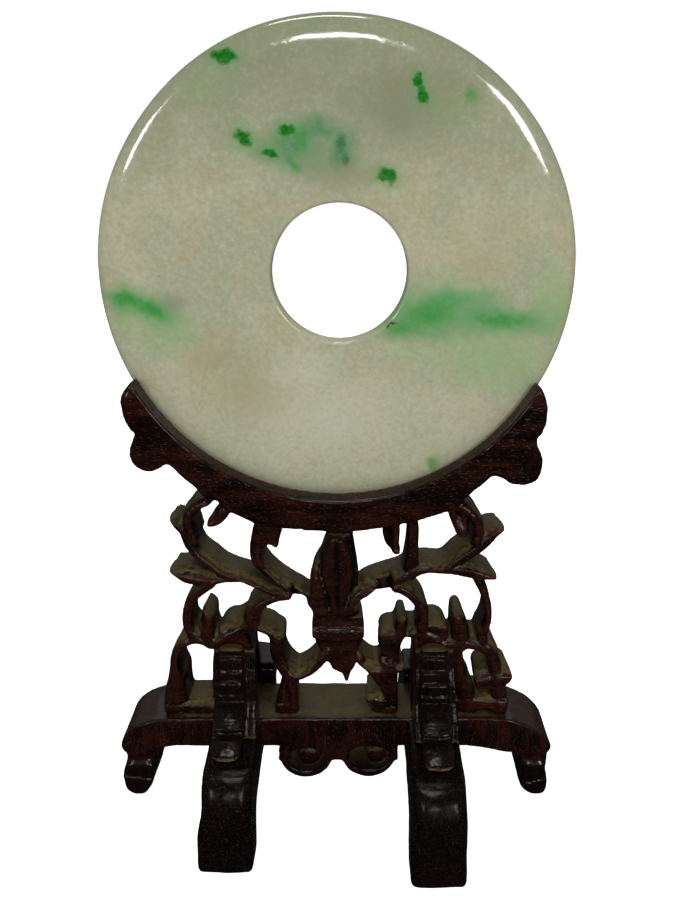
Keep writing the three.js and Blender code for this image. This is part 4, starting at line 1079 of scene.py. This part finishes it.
    # the wall of the drilling was never polished as the faces were
    bore = m.ramp(m.vec("LENGTH", m.map(m.map(p, loc=(-0.9, 0, 0)), scale=(1, 0, 1))), 18.80, 18.52)
    rough = m.add(rough, m.mul(bore, 0.42))
    m.put(sh.inputs["Roughness"], rough)
    sh.inputs["IOR"].default_value = 1.55
    sh.inputs["Subsurface Weight"].default_value = 0.14
    sh.inputs["Subsurface Radius"].default_value = (0.0042, 0.0052, 0.0036)
    sh.inputs["Subsurface Scale"].default_value = 0.8
    m.put(sh.inputs["Coat Weight"], m.mul(m.math("SUBTRACT", 1.0, bore), 0.5))
    sh.inputs["Coat Roughness"].default_value = 0.04
    h = m.add(m.mul(m.noise(p, 0.55, 3.0, 0.5), 1.0), m.mul(grain, 0.16))
    m.bump(h, 0.20, 0.00016)
    return m.mat


def wood_material(name, dark, red, grain_scale, dust=1.0, dust_from=0.8, gloss=(0.24, 0.42), wear_and_sheen=0.5, level=0.30,
                  ledge=0.0, olive=(0.086, 0.070, 0.025), seam=(0.122, 0.084, 0.022), part=None):
    """Old rosewood: near-black to red-brown figure, pores drawn out along the grain, worn arrises that are partly a
    painted highlight, dust that lies on what faces up and in what is hollow, and painted shade in deep recesses and
    knife cuts."""
    m = Nodes(name)
    p = m.mm
    sx = grain_scale
    along = m.map(p, scale=sx)
    bend = m.noise(p, 0.06, 2.0, 0.5, colour=True)
    along = m.vec("ADD", along, m.map(bend, scale=(3.0, 3.0, 3.0)))
    figure = m.noise(along, 0.30, 4.0, 0.6)
    patch = m.noise(m.map(p, loc=(11, 5, 3)), 0.055, 3.0, 0.55)
    streak = m.noise(along, 1.7, 4.0, 0.62)
    pores = m.noise(m.map(along, loc=(4, 9, 1)), 2.9, 2.0, 0.5)
    mottle = m.noise(p, 1.1, 5.0, 0.65)
    body = m.mix(m.ramp(m.add(m.mul(figure, 0.6), m.mul(patch, 0.4)), 0.40, 0.60), dark, red)
    body = m.mix(m.ramp(streak, 0.50, 0.68, 0, 0.55), body, tuple(0.35 * v for v in dark))
    body = m.mix(m.ramp(pores, 0.615, 0.69, 0, 0.5), body, gain(olive, 0.75))
    # how the surface lies
    hollow = m.attribute("hollow")
    shade = m.attribute("shade")
    deep = m.attribute("deep")
    up = m.normal[2]
    # worn arrises: convex edges turn a lighter red, partly wear and partly a painted highlight
    sharp = m.ramp(m.add(hollow, m.mul(mottle, 0.10)), 0.385, 0.27)
    body = m.mix(m.mul(sharp, wear_and_sheen), body, gain(red, 2.1))
    rubbed = m.mul(m.ramp(mottle, 0.52, 0.70), m.ramp(hollow, 0.50, 0.38))
    body = m.mix(m.mul(rubbed, wear_and_sheen * 0.5), body, gain(red, 1.6))
    lying = m.ramp(m.add(up, m.mul(m.add(mottle, -0.5), 0.5)), 0.18, 0.72)
    behind = m.ramp(m.add(deep, m.mul(mottle, 0.8)), dust_from, dust_from + 1.6)
    film = m.mul(lying, m.add(m.mul(behind, 1.0 - ledge), ledge))
    if part == "panel":  # the cradle is wiped clean
        rad = m.vec("LENGTH", m.map(m.map(p, loc=tuple(-(DISC + SHIFT))), scale=(1, 0, 1)))
        film = m.mul(film, m.ramp(rad, 74.0, 77.0, 0.06, 1.0))
    film = m.mul(film, m.ramp(m.noise(m.map(p, loc=(2, 8, 5)), 0.22, 4.0, 0.6), 0.25, 0.60, 0.62, 1.0))
    film = m.mul(film, m.ramp(m.noise(p, 3.4, 2.0, 0.6), 0.25, 0.6, 0.72, 1.0))
    film = m.mul(film, m.ramp(m.noise(m.map(p, loc=(5, 1, 9)), 0.75, 5.0, 0.7), 0.40, 0.56, 0.22, 1.0))
    sep = m.tree.nodes.new("ShaderNodeSeparateXYZ")
    m.put(sep.inputs[0], p)
    at = sep.outputs
    if part == "beam":  # handled shoulders are clean, and dust lies thick about the legs
        film = m.mul(film, m.ramp(m.add(m.math("ABSOLUTE", at[0]), m.mul(mottle, 9.0)), 57.0, 48.0, 0.12, 1.0))
    corners = m.mul(m.ramp(hollow, 0.56, 0.74), m.ramp(m.noise(p, 0.42, 4.0, 0.65), 0.44, 0.64))
    corners = m.mul(corners, m.ramp(up, -0.35, 0.15))
    sift = m.mul(m.ramp(m.noise(m.map(p, loc=(1, 2, 8)), 1.9, 3.0, 0.6), 0.56, 0.74), m.ramp(up, -0.1, 0.2))
    grey = m.math("MINIMUM", m.mul(m.add(film, m.mul(sift, 0.05)), dust), 1.0)
    warm = m.mul(corners, 0.62 * dust + 0.1)
    if part == "panel":
        warm = m.mul(warm, m.ramp(rad, 73.0, 76.0, 0.1, 1.0))
    if part == "bracket":  # a seam of yellow dust where it stands, and on its topmost ledge
        ragged = m.add(at[2], m.mul(m.add(mottle, -0.5), 2.2))
        warm = m.math("MAXIMUM", warm, m.ramp(ragged, 29.3, 28.5, 0, 0.8))
        warm = m.math("MAXIMUM", warm, m.mul(m.ramp(ragged, 49.6, 50.6, 0, 0.30), m.ramp(up, 0.1, 0.6)))
    if part == "panel":  # dust has gathered where the legs meet the beam and in the lower scrolls
        ragged = m.add(at[2], m.mul(m.add(mottle, -0.5), 16.0))
        warm = m.math("MAXIMUM", warm, m.mul(m.ramp(ragged, 56.0, 33.0, 0, 0.75), m.mul(film, m.ramp(patch, 0.42, 0.58, 0.3, 1.0))))
    if part == "beam":
        ragged = m.add(at[2], m.mul(m.add(mottle, -0.5), 3.0))
        warm = m.math("MAXIMUM", warm, m.mul(m.ramp(m.add(deep, m.mul(mottle, 2.0)), 4.2, 7.5), m.mul(m.ramp(ragged, 19.5, 17.0), m.ramp(m.math("ABSOLUTE", at[0]), 22.0, 19.0, 0, 0.9))))
    warm = m.math("MINIMUM", warm, 1.0)
    olive_mix = m.mix(m.ramp(m.noise(m.map(p, loc=(7, 7, 7)), 0.13, 3.0, 0.5), 0.40, 0.62), gain(olive, 0.82), gain(seam, 0.80))
    olive_mix = m.mix(m.ramp(mottle, 0.35, 0.70), olive_mix, gain(olive, 1.15))
    body = m.mix(m.mul(grey, 0.90), body, olive_mix)
    body = m.mix(warm, body, seam)
    if part == "beam":  # darker towards the bottom: the rolled feet are mixed towards near black below about 15 mm
        body = m.mix(m.ramp(at[2], 15.0, 9.5, 0, 0.82), body, (0.0022, 0.0014, 0.0018))
    polish = None
    if part == "panel":  # the cradle is handled most: darker and brighter polished than the openwork
        polish = m.mul(m.ramp(rad, 74.8, 73.2), m.ramp(deep, 1.6, 0.6))
        black = m.ramp(m.noise(m.map(along, loc=(2, 2, 2)), 0.13, 3.0, 0.55), 0.44, 0.60, 0.05, 0.9)
        body = m.mix(m.mul(polish, black), body, (0.0030, 0.0008, 0.0006))
        body = m.mix(m.mul(polish, m.ramp(pores, 0.62, 0.67, 0, 0.35)), body, gain(olive, 0.45))
    # painted shade: knife cuts are darkened towards black, and a painted highlight lightens the red of what stands
    # proud beside them
    crease = m.attribute("crease")
    facing = m.ramp(up, 0.55, 0.10)
    body = m.mix(m.mul(m.ramp(crease, 0.10, 0.42, 0, 0.88), facing), body, (0.0014, 0.0009, 0.0008))
    body = m.mix(m.mul(m.ramp(crease, -0.12, -0.42, 0, 0.30), facing), body, gain(red, 1.4))
    # painted shade: deep recesses are darkened
    body = m.mix(m.ramp(shade, 0.60, 0.90, 0, 0.62), body, (0.0016, 0.0010, 0.0008))
    sh = m.shader
    m.put(sh.inputs["Base Color"], body)
    rough = m.ramp(m.noise(m.map(p, loc=(3, 3, 9)), 0.30, 4.0, 0.6), 0.32, 0.68, gloss[0], gloss[1])
    if polish is not None:
        rough = m.mul(rough, m.ramp(polish, 0.0, 1.0, 1.0, 0.60, smooth=False))
    rough = m.add(rough, m.mul(m.ramp(pores, 0.60, 0.72), 0.16))
    covered = m.math("MAXIMUM", grey, warm)
    rough = m.add(m.mul(rough, m.math("SUBTRACT", 1.0, covered)), m.mul(covered, 0.9))
    rough = m.add(rough, m.ramp(shade, 0.62, 0.85, 0, 0.25), clamp=True)
    m.put(sh.inputs["Roughness"], rough)
    sh.inputs["IOR"].default_value = 1.48
    sh.inputs["Specular IOR Level"].default_value = level
    h = m.add(m.mul(streak, 0.35), m.mul(m.ramp(pores, 0.60, 0.74), -0.9))
    h = m.add(h, m.mul(m.noise(p, 2.2, 4.0, 0.6), 0.45))
    h = m.add(h, m.mul(m.noise(p, 0.5, 2.0, 0.5), 1.1))
    m.bump(h, 0.32, 0.00012)
    return m.mat


# jade colours
J = {
    "cool": srgb(157, 160, 133), "pale": srgb(169, 168, 141), "warm": srgb(167, 160, 130), "dull": srgb(122, 130, 102),
    "light": srgb(176, 176, 150), "white": srgb(196, 198, 178), "haze": srgb(122, 166, 104), "bluish": srgb(66, 130, 82),
    "crystal": srgb(192, 192, 172), "earth": srgb(144, 138, 104), "tan": srgb(156, 140, 104), "moss": srgb(112, 118, 88),
    "streak": srgb(82, 148, 88), "green": srgb(48, 138, 54), "smoke": srgb(112, 112, 98), "emerald": srgb(2, 104, 8),
    "deepblue": srgb(20, 98, 56), "brown": srgb(46, 34, 16), "fleck": srgb(106, 102, 78),
}

jade = jade_material()
panel_wood = wood_material("carved_rosewood", (0.0044, 0.0011, 0.0008), (0.0225, 0.0044, 0.0020), (0.28, 1.6, 1.6),
                           dust=1.0, dust_from=1.0, gloss=(0.19, 0.32), part="panel")
beam_wood = wood_material("beam_rosewood", (0.0040, 0.0009, 0.0008), (0.0200, 0.0036, 0.0018), (1.7, 1.7, 0.30),
                          dust=0.95, dust_from=1.2, gloss=(0.16, 0.26), level=0.36, part="beam")
runner_wood = wood_material("runner_rosewood", (0.0016, 0.0012, 0.0015), (0.0042, 0.0020, 0.0020), (1.6, 0.30, 1.6),
                            dust=0.015, dust_from=0.5, gloss=(0.17, 0.26), wear_and_sheen=0.20, level=0.13)
bracket_wood = wood_material("bracket_rosewood", (0.0018, 0.0013, 0.0017), (0.0072, 0.0024, 0.0022), (1.6, 1.6, 0.34),
                             dust=0.02, dust_from=0.2, gloss=(0.15, 0.23), ledge=0.3, wear_and_sheen=0.30, level=0.21, part="bracket")

# ------------------------------------------------------------------------------------------------ build
make_disc(jade)
make_panel(panel_wood)
make_beam(beam_wood)
for key in RUNNERS:
    make_runner(key, runner_wood)
for key in BRACKETS:
    make_bracket(key, bracket_wood)

# ------------------------------------------------------------------------------------------------ stage
scene = bpy.context.scene


def make_floor():
    """A wide pale floor: a fine disc of rings with a barely uneven surface."""
    n, m = 72, 14
    radii = np.linspace(0, 1, m + 1)[1:] ** 1.6 * 1.6
    verts = [(0.0, 0.0, -0.0002)]
    for r in radii:
        for i in range(n):
            a = 2 * math.pi * i / n
            verts.append((r * math.cos(a), r * math.sin(a), -0.0002))
    faces = [(0, 1 + i, 1 + (i + 1) % n) for i in range(n)]
    for k in range(m - 1):
        for i in range(n):
            a, b = 1 + k * n + i, 1 + k * n + (i + 1) % n
            faces.append((a, a + n, b + n, b))
    me = bpy.data.meshes.new("floor")
    me.from_pydata(verts, [], faces)
    me.update()
    ob = bpy.data.objects.new("floor", me)
    scene.collection.objects.link(ob)
    m_ = Nodes("floor_card")
    # pale to the eye and to plain light; dimmer in reflections, as a lit card in a dark room is
    tone = m_.mix(m_.ramp(m_.noise(m_.mm, 0.02, 3.0, 0.5), 0.35, 0.65), (0.84, 0.84, 0.84), (0.88, 0.88, 0.88))
    path = m_.tree.nodes.new("ShaderNodeLightPath")
    tone = m_.mix(path.outputs["Is Glossy Ray"], tone, (0.020, 0.020, 0.022))
    m_.put(m_.shader.inputs["Base Color"], tone)
    m_.put(m_.shader.inputs["Emission Color"], (1.0, 1.0, 1.0))
    m_.put(m_.shader.inputs["Emission Strength"], m_.mul(path.outputs["Is Camera Ray"], L["glow"]))
    m_.shader.inputs["Roughness"].default_value = 0.9
    m_.shader.inputs["Specular IOR Level"].default_value = 0.15
    me.materials.append(m_.mat)


make_floor()


def softbox(name, at, aim, size, power, gloss=True):
    """A rectangular lamp; it never shows itself, and a fill lamp leaves no highlight."""
    data = bpy.data.lights.new(name, "AREA")
    data.shape = "RECTANGLE"
    data.size, data.size_y = size
    data.energy = power
    ob = bpy.data.objects.new(name, data)
    ob.location = at
    ob.rotation_euler = (Vector(aim) - Vector(at)).to_track_quat("-Z", "Y").to_euler()
    ob.visible_camera = False
    ob.visible_glossy = gloss
    scene.collection.objects.link(ob)
    return ob


TARGET = (0.0, 0.0, 0.12)
softbox("top_light", (-0.06, -0.20, 1.00), TARGET, (0.36, 0.13), L["top"])
softbox("fill_light", (0.0, -1.10, 0.85), TARGET, (1.1, 0.7), L["fill"], gloss=False)
softbox("back_light", (0.0, 1.20, 0.80), TARGET, (1.4, 0.7), L["back"])
softbox("rear_fill", (0.0, 1.10, 0.85), TARGET, (1.1, 0.7), L["rear"], gloss=False)
# three narrow lamps before the disc leave the arcs of light along its rim
RIM = (0.002, 0.0, 0.19)
for name, at, size in (
    ("key_middle", (-0.01, -0.86, 0.490), (0.15, 0.078)),
    ("key_left", (-0.56, -0.70, 0.44), (0.090, 0.18)),
    ("key_right", (0.48, -0.76, 0.44), (0.140, 0.23)),
):
    softbox(name, at, RIM, size, L["key"] * math.pi * size[0] * size[1])

world = bpy.data.worlds.new("studio")
scene.world = world
world.use_nodes = True
wt = world.node_tree
wt.nodes.clear()
w_out = wt.nodes.new("ShaderNodeOutputWorld")
w_mix = wt.nodes.new("ShaderNodeMixShader")
w_path = wt.nodes.new("ShaderNodeLightPath")
w_seen = wt.nodes.new("ShaderNodeBackground")
w_lit = wt.nodes.new("ShaderNodeBackground")
w_seen.inputs["Color"].default_value = (1, 1, 1, 1)
w_seen.inputs["Strength"].default_value = 1.0
w_lit.inputs["Strength"].default_value = L["world"]
w_co = wt.nodes.new("ShaderNodeTexCoord")
w_sep = wt.nodes.new("ShaderNodeSeparateXYZ")
w_y = wt.nodes.new("ShaderNodeMapRange")
w_y.inputs["From Min"].default_value = -0.75
w_y.inputs["From Max"].default_value = 0.35
w_y.inputs["To Min"].default_value = L["front_tone"]
w_y.inputs["To Max"].default_value = 1.0
w_y.interpolation_type = "SMOOTHSTEP"
w_z = wt.nodes.new("ShaderNodeMapRange")
w_z.inputs["From Min"].default_value = 0.15
w_z.inputs["From Max"].default_value = 0.85
w_z.inputs["To Min"].default_value = 0.0
w_z.inputs["To Max"].default_value = L["sky"]
w_z.interpolation_type = "SMOOTHSTEP"
w_max = wt.nodes.new("ShaderNodeMath")
w_max.operation = "MAXIMUM"
wt.links.new(w_co.outputs["Generated"], w_sep.inputs[0])
wt.links.new(w_sep.outputs[1], w_y.inputs["Value"])
wt.links.new(w_sep.outputs[2], w_z.inputs["Value"])
wt.links.new(w_y.outputs[0], w_max.inputs[0])
wt.links.new(w_z.outputs[0], w_max.inputs[1])
wt.links.new(w_max.outputs[0], w_lit.inputs["Color"])
wt.links.new(w_path.outputs["Is Camera Ray"], w_mix.inputs[0])
wt.links.new(w_lit.outputs[0], w_mix.inputs[1])
wt.links.new(w_seen.outputs[0], w_mix.inputs[2])
wt.links.new(w_mix.outputs[0], w_out.inputs["Surface"])

scene.view_settings.view_transform = "Standard"
scene.view_settings.look = "None"
scene.view_settings.exposure = 0.0
scene.view_settings.gamma = 1.0

# ------------------------------------------------------------------------------------------------ camera
n = np.array([-0.0177, 0.2998, -0.9538])
n /= np.linalg.norm(n)
roll = math.radians(-0.45)
u = np.array([math.sin(roll), -math.cos(roll), 0.0])
u -= n * np.dot(u, n)
u /= np.linalg.norm(u)
M = np.vstack([np.cross(-n, u), -n, u])  # columns: right, down, forward
place = DISC - M @ (np.array([-0.0066, -0.7452, 3.8966]) * 65.0) + SHIFT
cam_data = bpy.data.cameras.new("camera")
cam_data.sensor_width = 36.0
cam_data.sensor_fit = "AUTO"
cam_data.lens = 930.0 * 36.0 / 900.0
cam_data.clip_start = 0.01
cam_data.clip_end = 50.0
cam = bpy.data.objects.new("camera", cam_data)
scene.collection.objects.link(cam)
mw = np.eye(4)
mw[:3, 0], mw[:3, 1], mw[:3, 2] = M[:, 0], -M[:, 1], -M[:, 2]
mw[:3, 3] = place / 1000.0
cam.matrix_world = Matrix(mw.tolist())
scene.camera = cam
